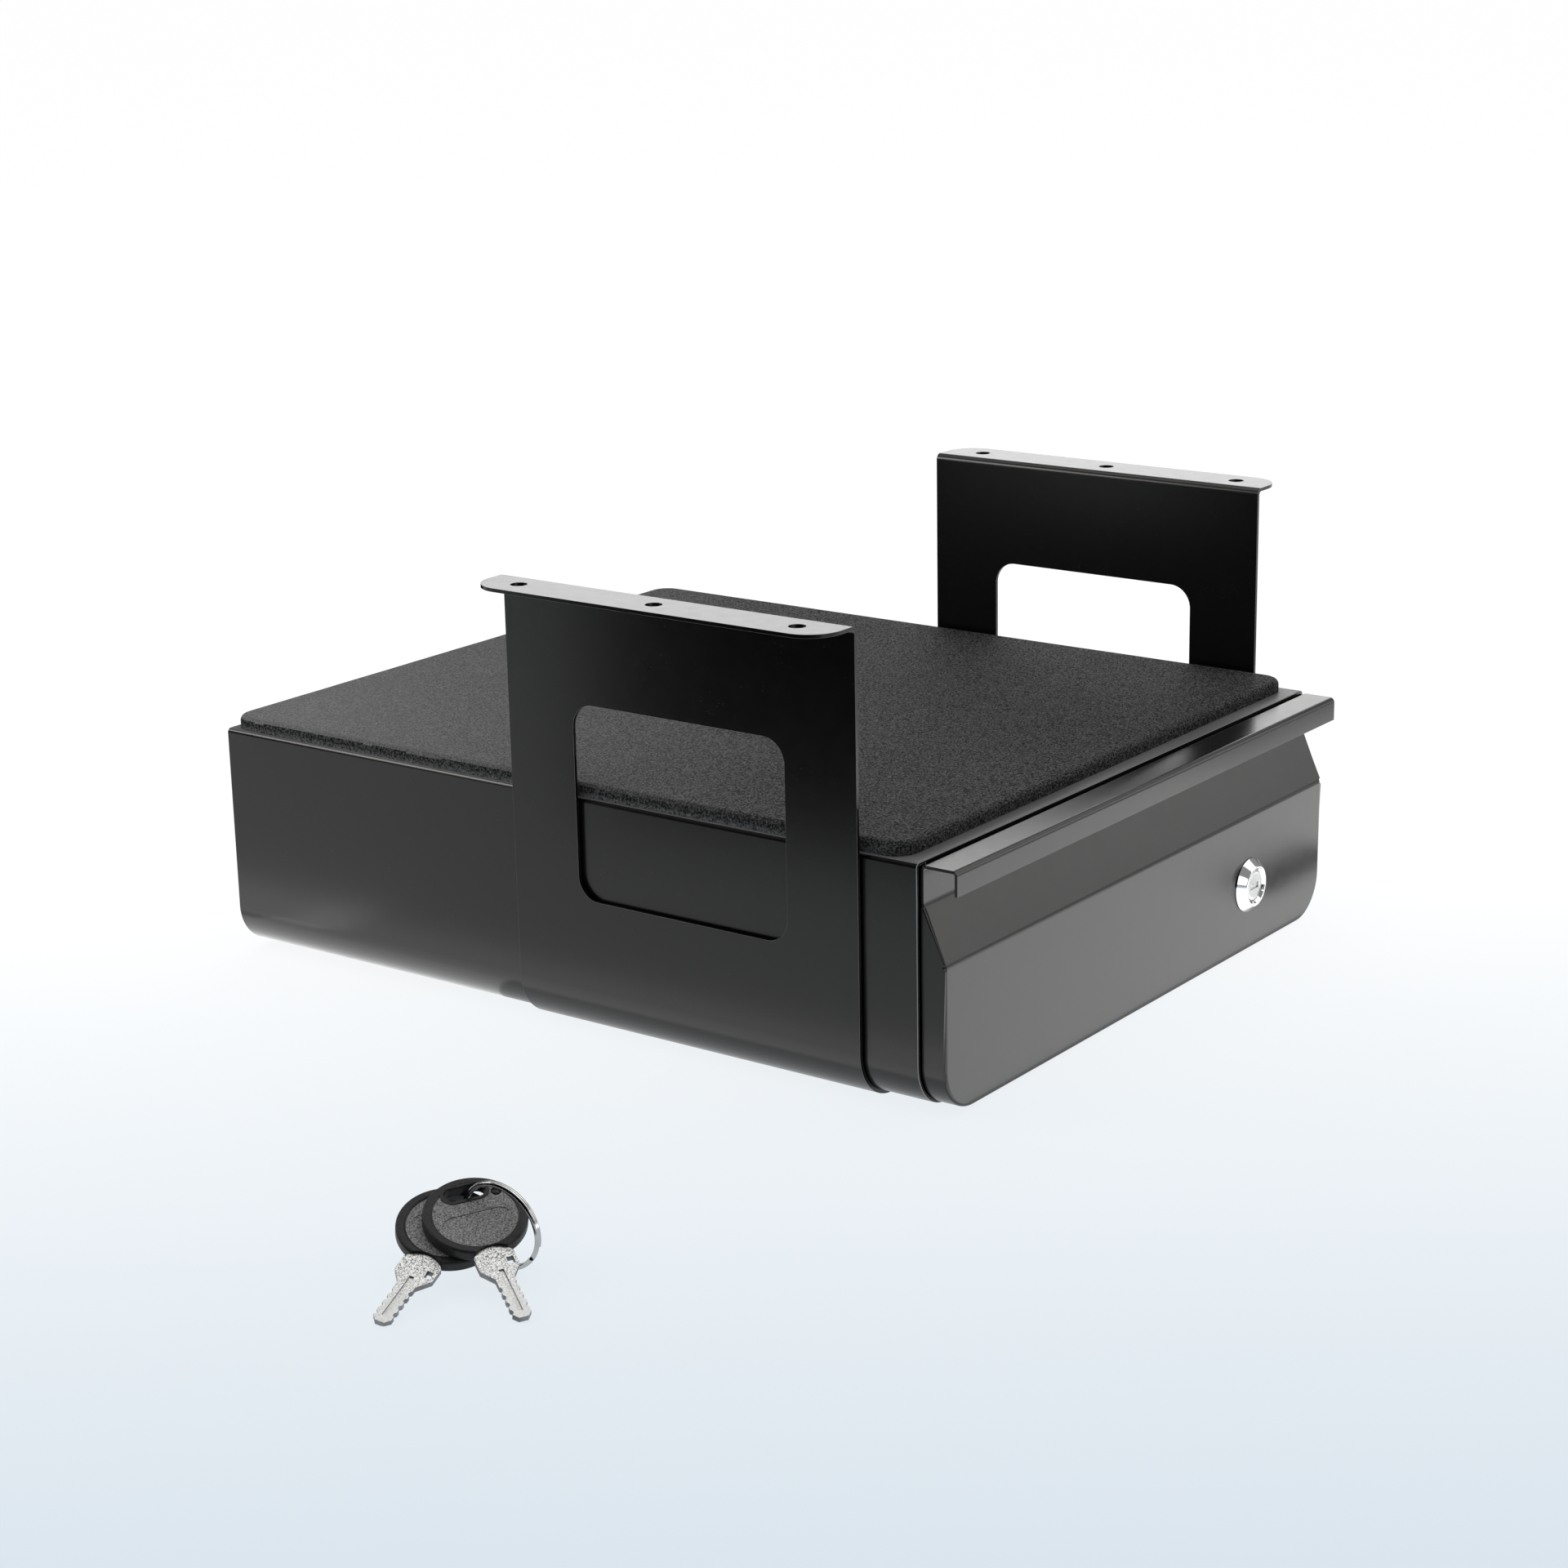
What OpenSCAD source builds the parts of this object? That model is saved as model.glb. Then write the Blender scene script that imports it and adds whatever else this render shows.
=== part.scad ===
// Lockable pull-out drawer that hangs under a desk top.
// A folded steel housing carries a foam shelf mat on top and hangs in two brackets, and a tray
// on ball-bearing slides runs in it behind a pressed front with a cam lock.
// The pieces are drawn with x to the right, y to the back and z up, y = 0 at the housing's
// front edge and z = 0 at its underside. in_frame() then moves the origin to the middle of
// the screw holes, on the plane where the flanges meet the desk top.

/* [Housing] */
// Width of the housing
housing_w = 305; // [270:1:400]
// Depth of the housing
housing_d = 360; // [352:1:460]
// Height of the housing
housing_h = 100; // [96:0.2:130]
// Thickness of the housing sheet
housing_t = 1.2; // [0.8:0.1:1.6]
// Radius of the two long lower edges
lower_r = 19.2; // [12:0.2:24]
// Outside radius of the two long upper edges
fold_r = 2; // [1.8:0.1:4]
// Depth of the return under the top at the front
top_return_h = 8; // [5:0.5:10]
// Height of the upstand at the front of the floor, which the cam locks behind
strike_h = 11; // [8:0.5:11.5]
// Width of the rim that the rear panel lies against
rear_rim_w = 10; // [8:0.5:14]

/* [Shelf mat] */
// Thickness of the foam mat
mat_t = 5.6; // [4:0.1:9]
// Radius of the mat's corners in plan
mat_corner_r = 10; // [5:0.5:20]
// Radius of the mat's upper edge
mat_edge_r = 2.4; // [1:0.1:3.5]
// Strip left bare at each side of the mat
mat_side_gap = 1.8; // [1:0.1:10]
// Strip left bare at the front of the mat
mat_front_gap = 7; // [2:0.5:20]
// Strip left bare at the back of the mat
mat_back_gap = 0.5; // [0.5:0.5:20]

/* [Brackets] */
// Length of a bracket along the housing
bracket_l = 170; // [150:1:220]
// Distance from the housing's front edge to a bracket
bracket_y = 25; // [10:1:60]
// Height of the desk face above the housing
bracket_rise = 87.6; // [60:0.1:120]
// Thickness of the bracket sheet
bracket_t = 1.5; // [1:0.1:2]
// Gap between a bracket's plate and the side of the housing
bracket_gap = 1; // [0.8:0.1:8]
// Width of the out-turned flange, from the face of the plate
flange_w = 22.2; // [18:0.1:32]
// Radius of the flange's outer corners
flange_corner_r = 14; // [4:0.5:14]
// Inside radius of the fold between plate and flange
flange_fold_r = 1.5; // [1:0.1:3]
// Radius of a desk screw hole
desk_hole_r = 3.4; // [2:0.1:4]
// Distance from a bracket's end to its first desk screw hole
desk_hole_end = 17.8; // [12:0.1:30]
// Number of desk screw holes in a flange
desk_holes = 3; // [2:1:5]
// Length of the window in a bracket
window_l = 103.6; // [60:0.1:110]
// Height of the window in a bracket
window_h = 81.4; // [40:0.1:90]
// Height of the window's lower edge above the housing's underside
window_z = 58.2; // [40:0.1:75]
// Radius of the window's corners
window_r = 10; // [4:0.5:16]
// Reach of the foot under the housing, from the face of the plate
foot_l = 52; // [45:1:70]
// Radius of the foot's corners
foot_corner_r = 8; // [3:0.5:12]

/* [Drawer front] */
// Thickness of the front's sheet
front_t = 1.2; // [0.8:0.1:1.6]
// Distance from the housing's front edge to the front's face
front_depth = 11.2; // [8:0.1:18]
// How much narrower than the housing the front is, at each side
front_inset = 2; // [0:0.1:3]
// Gap between the drawer front and the housing
seam = 0.5; // [0.3:0.1:1.5]
// Height of the edge where the face leans back
knee_z = 60.3; // [56:0.1:66]
// Height where the leaning face meets the neck below the pull
slope_top_z = 83.7; // [76:0.1:86]
// Distance from the housing's front edge to the pull's face
pull_reach = 16.7; // [13:0.1:26]
// How far the pull's upper face lies below the housing's
pull_low = 0.8; // [0:0.1:2]
// Height of the pull's turned-down edge
pull_drop = 10; // [6:0.1:14]
// Outside radius of the folds in the pull
pull_fold_r = 2.2; // [1.8:0.1:4]

/* [Tray] */
// Thickness of the tray's sheet
tray_t = 1; // [0.8:0.1:1.4]
// Height of the tray's underside
tray_z = 14; // [13.5:0.5:16]
// Height of the tray's upper edge
tray_top_z = 84; // [76:1:86]
// Distance from the housing's front edge to the tray's front wall
tray_front_y = 11; // [11:1:20]
// Distance from the tray's back wall to the housing's back edge
tray_back_gap = 29; // [24:1:36]
// Width of the safe edge turned in round the top of the tray
tray_hem_w = 6; // [3:0.5:10]
// Width of the two ears that carry the drawer front
ear_w = 20; // [16:1:30]

/* [Slides] */
// Space for a slide between housing and tray
slide_space = 12.7; // [12.4:0.1:14]
// Height of a slide
slide_h = 35; // [32:1:40]
// Height of the slides' centre line
slide_z = 48; // [44:1:52]
// Thickness of the slides' rails
slide_t = 1.2; // [1:0.1:1.4]
// Distance from the drawer rail's back end to the housing's back edge
slide_back_gap = 48; // [43:1:56]
// Distance from the housing's front edge to the slides
slide_y = 12; // [6:1:16]
// Length of the two rails that stay in each other when the drawer is out
slide_overlap = 80; // [80:1:120]
// Radius of a ball
ball_r = 2; // [1.9:0.05:2.1]
// Balls in one row
balls = 7; // [4:1:7]
// Distance between balls
ball_pitch = 10; // [8:0.5:10]

/* [Lock] */
// Distance of the lock from the middle of the front
lock_x = 85.2; // [40:0.1:100]
// Height of the lock
lock_z = 29.6; // [28:0.1:31]
// Radius of the bezel at the front panel
bezel_r = 11.8; // [11:0.1:14]
// Radius of the bezel at its face
bezel_face_r = 8.7; // [8:0.1:9.5]
// Height of the bezel
bezel_h = 3.9; // [2:0.1:6]
// Radius of the lock's barrel
barrel_r = 9; // [8.5:0.1:9.4]
// Length of the barrel behind the front's face
barrel_l = 14; // [13.5:0.1:14.5]
// Radius of the plug
plug_r = 6.5; // [5.5:0.1:6.8]
// Depth of the plug's face behind the bezel's face
plug_recess = 1; // [0.5:0.1:2]
// Length of the cam from the lock's axis
cam_l = 24; // [22:0.5:25]
// Width of the cam
cam_w = 12; // [8:0.5:14]
// Thickness of the cam
cam_t = 2; // [1.5:0.1:2.2]

/* [Keys] */
// Radius of a key's head
key_head_r = 18; // [16:0.5:20]
// Thickness of a key's head
key_head_t = 4.4; // [4:0.1:5]
// Distance from the middle of the head to the tip of the blade
key_reach = 48.5; // [46:0.5:56]
// Width of a key's blade
key_blade_w = 6.6; // [5:0.1:7.4]
// Thickness of a key's blade
key_blade_t = 2.2; // [1.6:0.1:2.4]
// Radius of the key ring, to the middle of its wire
ring_r = 15.6; // [14.4:0.1:18]
// Radius of the key ring's wire
ring_wire_r = 0.9; // [0.7:0.05:1]

/* [Hidden] */
$fn = 48;

housing_in = housing_w / 2 - housing_t;
desk_z = housing_h + bracket_rise;
bracket_mid_y = bracket_y + bracket_l / 2;
foot_z = -bracket_t;

plate_out = housing_w / 2 + bracket_gap + bracket_t;
plate_in = plate_out - bracket_t;
foot_bend_r = lower_r + bracket_gap + bracket_t;
flange_x = plate_out + flange_w;
desk_hole_x = plate_out + flange_w / 2;
desk_hole_pitch = (bracket_l - 2 * desk_hole_end) / (desk_holes - 1);
foot_screw_x = (plate_out - foot_bend_r + plate_out - foot_l) / 2;
foot_screw_end = 20;
foot_screw_ys = [bracket_y + foot_screw_end, bracket_mid_y, bracket_y + bracket_l - foot_screw_end];

// Small hardware: an M4 screw with a pan head and its nut
screw_r = 2;
screw_fit = 0.15;
tapped_fit = 0.03;
head_r = 3.8;
head_h = 2.2;
nut_af = 7;
nut_h = 3.2;
rear_screw_inset = 50;
rear_screw_x = housing_w / 2 - rear_screw_inset;
rear_panel_fit = 0.3;

neck_y = seam + front_t;
slope_angle = atan2(front_depth - neck_y, slope_top_z - knee_z);
slope_shift = front_t * tan(slope_angle / 2);
front_in_y = -front_depth + front_t;
front_half = housing_w / 2 - front_inset;
front_top_z = housing_h - pull_low;
stud_x = housing_w / 2 - housing_t - slide_space - ear_w / 2;
stud_zs = [26, 50];
stud_l = 7;
ear_z0 = 19;
ear_z1 = 57;

tray_out = housing_in - slide_space;
tray_back_y = housing_d - tray_back_gap;
tray_l = tray_back_y - tray_front_y;
slide_l = housing_d - slide_back_gap - slide_y;
travel = slide_l - slide_overlap;

race_gap = 0.15;
race_in = ball_r + race_gap;
race_out = race_in + slide_t;
race_lap = 0.8;
ball_u = slide_space / 2;
ball_v = slide_h / 2 - race_out;
cage_t = 0.6;
cage_u = slide_t + 0.7;
cage_v = race_lap + 0.35;
cage_tip_u = ball_u + 0.6;
cage_hole_r = sqrt(ball_r * ball_r - cage_v * cage_v) + 0.1;
cage_l = ball_pitch * balls + 4;
cage_open_y = slide_y + 3;
cage_y = cage_open_y + travel / 2;
rail_screw_end = 22;
rail_screw_ys = [slide_y + rail_screw_end, slide_y + slide_l / 2, slide_y + slide_l - rail_screw_end];
bumper_l = 8;
rail_stop_gap = 0.3;

flat_x = barrel_r - 1;
lock_fit = 0.15;
lock_washer_t = 0.8;
lock_nut_af = 22;
lock_nut_h = 3.5;
plug_fit = 0.05;
cam_gap = 0.2;
tail_w = 7;
tail_fit = 0.1;
cam_y = barrel_l + cam_gap;
cam_washer_t = 1;
cam_washer_r = 6.5;
cam_screw_r = 1.65;
cam_head_r = 4;
cam_head_h = 2.4;
keyway_w = key_blade_w + 0.5;
keyway_t = key_blade_t + 0.4;

// Key outline, along the key's own axis with the head at the origin
key_rim_w = 2.4;
key_web_drop = 0.5;
slot_y = 11.1;
slot_l = 15;
slot_w = 6.4;
band_w = 24;
band_h = 8;
band_y = -2.7;
shoulder_top_y = -15;
shoulder_arc_r = 8.6;
shoulder_w = 14;
shoulder_l = 10;
taper_l = 5;
tang_w = 8;
tang_l = 7;
key_fit = 0.1;
groove_w = 1.6;
groove_d = 0.6;
bite_ys = [-34, -37.5, -41, -44.5];
bite_r = 1.1;

// The two keys lie on their blade tips and on the ring that joins their heads
key_turn_lower = -25;
key_turn_upper = 21.5;
head_step = [8.8, 1];
head_gap = 0.05;
upper_lift = key_head_t + head_gap;
ring_pass = [-3.75, 8.8];
ring_aim = -37;
ring_tilt = 8;
key_heading = -50;
key_place = [-347, 50];

tip_lower = [each turned([0, -key_reach], key_turn_lower) - head_step, -key_blade_t / 2];
tip_upper = [each turned([0, -key_reach], key_turn_upper), upper_lift - key_blade_t / 2];
ring_centre = [each ring_pass + ring_r * [cos(ring_aim), sin(ring_aim)], upper_lift / 2];
ring_axis = [-sin(ring_aim) * cos(ring_tilt), cos(ring_aim) * cos(ring_tilt), sin(ring_tilt)];
floor_up = settled([0, 0, 1], 5);
key_roll = -asin(floor_up.x);
key_lean = atan2(floor_up.y, floor_up.z);
key_lift = -floor_up * tip_lower;

// Point p turned by angle a about the origin
function turned(p, a) = [p.x * cos(a) - p.y * sin(a), p.x * sin(a) + p.y * cos(a)];

// Lowest point of the ring's wire, when up points away from the floor
function ring_low(up) =
    let (across = up - (up * ring_axis) * ring_axis)
    ring_centre - ring_r * across / norm(across) - 1.75 * ring_wire_r * up;

// The direction away from the floor that rests both tips and the ring on it, by n passes
function settled(up, n) =
    let (normal = cross(tip_upper - tip_lower, ring_low(up) - tip_lower))
    n == 0 ? up : settled(normal / norm(normal), n - 1);

// Moves the origin to the desk screw pattern
module in_frame() {
    translate([0, -bracket_mid_y, -desk_z]) children();
}

// Extrudes an x-z outline along y from y0
module along_y(y0, l) {
    translate([0, y0 + l, 0]) rotate([90, 0, 0]) linear_extrude(l) children();
}

// Extrudes a y-z outline along x from x0
module along_x(x0, l) {
    translate([x0, 0, 0]) rotate([90, 0, 90]) linear_extrude(l) children();
}

// Rectangle from the origin with all corners round
module round_rect(w, h, r) {
    translate([r, 0]) square([w - 2 * r, h]);
    translate([0, r]) square([w, h - 2 * r]);
    for (x = [r, w - r], y = [r, h - r]) translate([x, y]) circle(r);
}

// Quarter of a ring, in the quadrant that starts at angle a
module bend(r_in, r_out, a) {
    rotate(a) intersection() {
        difference() {
            circle(r_out);
            circle(r_in);
        }
        square(r_out);
    }
}

// Section of the housing, or of the front: small radii at the top, large ones at the bottom
module housing_outline(inset, half_w = housing_w / 2) {
    half = half_w - inset;
    low = lower_r - inset;
    top = max(fold_r - inset, 0.4);
    z1 = housing_h - inset;
    translate([-half + low, inset]) square([2 * (half - low), low]);
    translate([-half, inset + low]) square([2 * half, z1 - top - inset - low]);
    translate([-half + top, z1 - top]) square([2 * (half - top), top]);
    for (s = [-1, 1]) {
        translate([s * (half - low), inset + low]) circle(low);
        translate([s * (half - top), z1 - top]) circle(top);
    }
}

// Pan-head screw along +z, with its head above z = 0
module pan_screw(shank_l) {
    rotate_extrude() {
        square([screw_r, head_h]);
        translate([0, -shank_l]) square([screw_r, shank_l]);
        difference() {
            square([head_r, head_h]);
            translate([head_r - 0.9, head_h - 0.9]) difference() {
                square(1);
                circle(0.9);
            }
        }
    }
}

// Hexagon nut along +z from z = 0
module hex_nut(af, h, bore_r) {
    difference() {
        cylinder(r = af / sqrt(3), h = h, $fn = 6);
        translate([0, 0, -1]) cylinder(r = bore_r, h = h + 2);
    }
}

module housing_shell() in_frame() color([0.1, 0.1, 0.11]) {
    difference() {
        union() {
            difference() {
                along_y(0, housing_d) housing_outline(0);
                along_y(-1, housing_d + 2) housing_outline(housing_t);
            }
            translate([-(housing_w / 2 - 3 * fold_r), 0, housing_h - top_return_h])
                cube([housing_w - 6 * fold_r, housing_t, top_return_h - housing_t / 2]);
            translate([-(housing_w / 2 - lower_r), 0, housing_t / 2])
                cube([housing_w - 2 * lower_r, housing_t, strike_h - housing_t / 2]);
            along_y(housing_d - housing_t, housing_t) difference() {
                housing_outline(housing_t / 2);
                housing_outline(housing_t + rear_rim_w);
            }
        }
        for (s = [-1, 1], y = foot_screw_ys)
            translate([s * foot_screw_x, y, -1]) cylinder(r = screw_r + screw_fit, h = 4);
        for (s = [-1, 1], z = [housing_t + rear_rim_w / 2, housing_h - housing_t - rear_rim_w / 2])
            translate([s * rear_screw_x, housing_d - 4, z]) rotate([-90, 0, 0])
                cylinder(r = screw_r + screw_fit, h = 6);
    }
}

module rear_panel() in_frame() color([0.12, 0.12, 0.13]) difference() {
    along_y(housing_d - 2 * housing_t, housing_t) housing_outline(housing_t + rear_panel_fit);
    for (s = [-1, 1], z = [housing_t + rear_rim_w / 2, housing_h - housing_t - rear_rim_w / 2])
        translate([s * rear_screw_x, housing_d - 3 * housing_t, z]) rotate([-90, 0, 0])
            cylinder(r = screw_r + screw_fit, h = 4 * housing_t);
}

module at_rear_screws() {
    for (s = [-1, 1], z = [housing_t + rear_rim_w / 2, housing_h - housing_t - rear_rim_w / 2])
        translate([s * rear_screw_x, housing_d, z]) rotate([-90, 0, 0]) children();
}

module rear_screws() in_frame() color([0.2, 0.2, 0.21])
    at_rear_screws() pan_screw(2 * housing_t + nut_h + 1);

module rear_nuts() in_frame() color([0.7, 0.7, 0.72])
    at_rear_screws() translate([0, 0, -2 * housing_t - nut_h])
        hex_nut(nut_af, nut_h, screw_r + screw_fit);

// Foam mat with round corners and a round upper edge
module shelf_mat() in_frame() color([0.3, 0.3, 0.31]) {
    x = housing_w / 2 - mat_side_gap - mat_corner_r;
    y0 = mat_front_gap + mat_corner_r;
    y1 = housing_d - mat_back_gap - mat_corner_r;
    hull() for (sx = [-x, x], sy = [y0, y1]) translate([sx, sy, housing_h])
        rotate_extrude($fn = 32) {
            square([mat_corner_r, mat_t - mat_edge_r]);
            square([mat_corner_r - mat_edge_r, mat_t]);
            intersection() {
                translate([mat_corner_r - mat_edge_r, mat_t - mat_edge_r]) circle(mat_edge_r, $fn = 24);
                square([mat_corner_r, mat_t]);
            }
        }
}

// Plan of a plate whose outer two corners are round, from the origin along +x
module tab_plan(w, l, r) {
    square([w - r, l]);
    translate([0, r]) square([w, l - 2 * r]);
    for (y = [r, l - r]) translate([w - r, y]) circle(r);
}

// Right-hand bracket: flange, plate with its window, bend and foot in one sheet
module bracket() {
    fold_x = plate_out + flange_fold_r;
    fold_z = desk_z - bracket_t - flange_fold_r;
    bend_x = plate_out - foot_bend_r;
    bend_z = foot_z + foot_bend_r;
    difference() {
        union() {
            along_y(bracket_y, bracket_l) {
                translate([plate_in, bend_z]) square([bracket_t, fold_z - bend_z]);
                translate([fold_x, fold_z])
                    bend(flange_fold_r, flange_fold_r + bracket_t, 90);
                translate([bend_x, bend_z]) bend(foot_bend_r - bracket_t, foot_bend_r, 270);
            }
            translate([fold_x, bracket_y, desk_z - bracket_t]) linear_extrude(bracket_t)
                tab_plan(flange_x - fold_x, bracket_l, flange_corner_r);
            translate([bend_x, bracket_y, foot_z]) linear_extrude(bracket_t) mirror([1, 0])
                tab_plan(foot_l - foot_bend_r, bracket_l, foot_corner_r);
        }
        translate([0, bracket_mid_y - window_l / 2, window_z]) along_x(plate_in - 1, bracket_t + 2)
            round_rect(window_l, window_h, window_r);
        for (i = [0:desk_holes - 1])
            translate([desk_hole_x, bracket_y + desk_hole_end + i * desk_hole_pitch, desk_z - 4])
                cylinder(r = desk_hole_r, h = 6);
        for (y = foot_screw_ys)
            translate([foot_screw_x, y, foot_z - 1]) cylinder(r = screw_r + tapped_fit, h = 4);
    }
}

module bracket_left() in_frame() color([0.08, 0.08, 0.09]) mirror([1, 0, 0]) bracket();

module bracket_right() in_frame() color([0.08, 0.08, 0.09]) bracket();

// Screws from inside the housing into a bracket's foot
module bracket_screws(s) {
    for (y = foot_screw_ys) translate([s * foot_screw_x, y, housing_t])
        pan_screw(housing_t + bracket_t - 0.2);
}

module bracket_screws_left() in_frame() color([0.7, 0.7, 0.72]) bracket_screws(-1);

module bracket_screws_right() in_frame() color([0.7, 0.7, 0.72]) bracket_screws(1);

// Puts a slide's section, drawn from the wall inwards, on the left wall, and on the right one
module on_side(s) {
    mirror([s > 0 ? 1 : 0, 0, 0]) translate([-housing_in, 0, slide_z]) children();
}

// Section of the rail on the housing, with a race above and below
module housing_rail_section() {
    translate([0, -slide_h / 2]) square([slide_t, slide_h]);
    for (m = [0, 1]) mirror([0, m]) {
        translate([0, slide_h / 2 - slide_t]) square([ball_u, slide_t]);
        translate([ball_u, ball_v]) intersection() {
            difference() {
                circle(race_out);
                circle(race_in);
            }
            translate([0, -race_lap]) square([race_out, race_out + race_lap]);
        }
    }
}

// Section of the rail on the tray, which runs inside the other
module tray_rail_section() {
    translate([slide_space - slide_t, -ball_v + race_in]) square([slide_t, 2 * (ball_v - race_in)]);
    for (m = [0, 1]) mirror([0, m]) {
        translate([ball_u, ball_v - race_out]) square([slide_space - ball_u, slide_t]);
        translate([ball_u, ball_v]) intersection() {
            difference() {
                circle(race_out);
                circle(race_in);
            }
            translate([-race_out, -race_out]) square([race_out, race_out + race_lap]);
        }
    }
}

// Section of the ball cage between the rails
module cage_section() {
    top = ball_v + cage_v + cage_t;
    difference() {
        translate([cage_u, -top]) square([cage_tip_u - cage_u, 2 * top]);
        translate([cage_u + cage_t, cage_t - top]) square([ball_u, 2 * (top - cage_t)]);
    }
}

module slide_rail(s) on_side(s) {
    along_y(slide_y, slide_l + rail_stop_gap + bumper_l) housing_rail_section();
}

module slide_bumper(s) on_side(s) {
    translate([slide_t, slide_y + slide_l + rail_stop_gap, -7]) cube([9, bumper_l, 14]);
}

module ball_places() {
    for (i = [0:balls - 1], m = [-1, 1])
        translate([ball_u, cage_y + cage_l / 2 + (i - (balls - 1) / 2) * ball_pitch, m * ball_v])
            children();
}

module ball_cage(s) on_side(s) difference() {
    along_y(cage_y, cage_l) cage_section();
    ball_places() translate([0, 0, -3]) cylinder(r = cage_hole_r, h = 6);
    translate([0, cage_y + 8, -ball_v + 4]) cube([4, cage_l - 16, 2 * ball_v - 8]);
}

module cage_balls(s) on_side(s) ball_places() sphere(r = ball_r, $fn = 24);

module drawer_rail(s) on_side(s) difference() {
    along_y(slide_y, slide_l) tray_rail_section();
    for (y = rail_screw_ys) translate([slide_space - 4, y, 0]) rotate([0, 90, 0])
        cylinder(r = screw_r + screw_fit, h = 6);
}

module rail_screws(s) on_side(s) {
    for (y = rail_screw_ys) translate([slide_space + tray_t, y, 0]) rotate([0, 90, 0])
        pan_screw(tray_t + slide_t + 1);
}

module slide_rail_left() in_frame() color([0.72, 0.73, 0.75]) slide_rail(-1);

module slide_rail_right() in_frame() color([0.72, 0.73, 0.75]) slide_rail(1);

module slide_bumper_left() in_frame() color([0.05, 0.05, 0.05]) slide_bumper(-1);

module slide_bumper_right() in_frame() color([0.05, 0.05, 0.05]) slide_bumper(1);

module ball_cage_left() in_frame() color([0.6, 0.6, 0.62]) ball_cage(-1);

module ball_cage_right() in_frame() color([0.6, 0.6, 0.62]) ball_cage(1);

module cage_balls_left() in_frame() color([0.85, 0.85, 0.86]) cage_balls(-1);

module cage_balls_right() in_frame() color([0.85, 0.85, 0.86]) cage_balls(1);

module drawer_rail_left() in_frame() color([0.72, 0.73, 0.75]) drawer_rail(-1);

module drawer_rail_right() in_frame() color([0.72, 0.73, 0.75]) drawer_rail(1);

module rail_screws_left() in_frame() color([0.7, 0.7, 0.72]) rail_screws(-1);

module rail_screws_right() in_frame() color([0.7, 0.7, 0.72]) rail_screws(1);

module drawer_tray() in_frame() color([0.14, 0.14, 0.15]) difference() {
    union() {
        difference() {
            translate([-tray_out, tray_front_y, tray_z])
                cube([2 * tray_out, tray_l, tray_top_z - tray_z]);
            translate([-tray_out + tray_t, tray_front_y + tray_t, tray_z + tray_t])
                cube([2 * (tray_out - tray_t), tray_l - 2 * tray_t, tray_top_z - tray_z - 2 * tray_t]);
            translate([-tray_out + tray_hem_w, tray_front_y + tray_hem_w, tray_top_z - 2 * tray_t])
                cube([2 * (tray_out - tray_hem_w), tray_l - 2 * tray_hem_w, 4 * tray_t]);
        }
        for (s = [0, 1]) mirror([s, 0, 0]) {
            translate([tray_out - tray_t, front_in_y, ear_z0])
                cube([tray_t, tray_front_y - front_in_y + 1, ear_z1 - ear_z0]);
            translate([tray_out - ear_w, front_in_y, ear_z0])
                cube([ear_w, tray_t, ear_z1 - ear_z0]);
        }
    }
    for (s = [-1, 1], z = stud_zs)
        translate([s * stud_x, front_in_y - 1, z]) rotate([-90, 0, 0])
            cylinder(r = screw_r + screw_fit, h = tray_t + 2);
    for (s = [0, 1], y = rail_screw_ys) mirror([s, 0, 0])
        translate([tray_out - 3, y, slide_z]) rotate([0, 90, 0])
            cylinder(r = screw_r + screw_fit, h = 6);
}

// Side view of the front, its outer face
module front_profile() {
    polygon([
        [-seam, 0], [-front_depth, 0], [-front_depth, knee_z], [-neck_y, slope_top_z],
        [-neck_y, front_top_z - pull_fold_r], [-seam, front_top_z - pull_fold_r]
    ]);
}

// Side view of the hollow behind the front
module front_hollow_profile() {
    polygon([
        [1, 0], [front_in_y, 0], [front_in_y, knee_z - slope_shift],
        [-seam, slope_top_z - slope_shift], [1, slope_top_z - slope_shift]
    ]);
}

// Side view of the pull, a strip turned forwards and down
module pull_profile() {
    back = -seam - pull_fold_r;
    tip = -pull_reach + pull_fold_r;
    r_in = pull_fold_r - front_t;
    translate([back, front_top_z - pull_fold_r]) bend(r_in, pull_fold_r, 0);
    translate([tip, front_top_z - front_t]) square([back - tip, front_t]);
    translate([tip, front_top_z - pull_fold_r]) bend(r_in, pull_fold_r, 90);
    translate([-pull_reach, front_top_z - pull_drop]) square([front_t, pull_drop - pull_fold_r]);
}

module drawer_front() in_frame() color([0.16, 0.16, 0.17]) difference() {
    union() {
        difference() {
            intersection() {
                along_x(-front_half, 2 * front_half) front_profile();
                along_y(-front_depth - 1, front_depth + 2) housing_outline(0, front_half);
            }
            intersection() {
                along_x(-front_half, 2 * front_half) front_hollow_profile();
                along_y(-front_depth - 1, front_depth + 3) housing_outline(front_t, front_half);
            }
        }
        along_x(-front_half, 2 * front_half) pull_profile();
        for (s = [-1, 1], z = stud_zs)
            translate([s * stud_x, front_in_y - front_t / 2, z]) rotate([-90, 0, 0])
                cylinder(r = screw_r, h = stud_l + front_t / 2);
    }
    intersection() {
        translate([lock_x, 0, lock_z]) rotate([90, 0, 0])
            cylinder(r = barrel_r + lock_fit, h = 2 * front_depth);
        translate([lock_x - flat_x - lock_fit, -2 * front_depth, 0])
            cube([2 * (flat_x + lock_fit), 2 * front_depth, 2 * lock_z]);
    }
}

module front_nuts() in_frame() color([0.7, 0.7, 0.72])
    for (s = [-1, 1], z = stud_zs)
        translate([s * stud_x, front_in_y + tray_t, z]) rotate([-90, 0, 0])
            hex_nut(nut_af, nut_h, screw_r + screw_fit);

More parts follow.
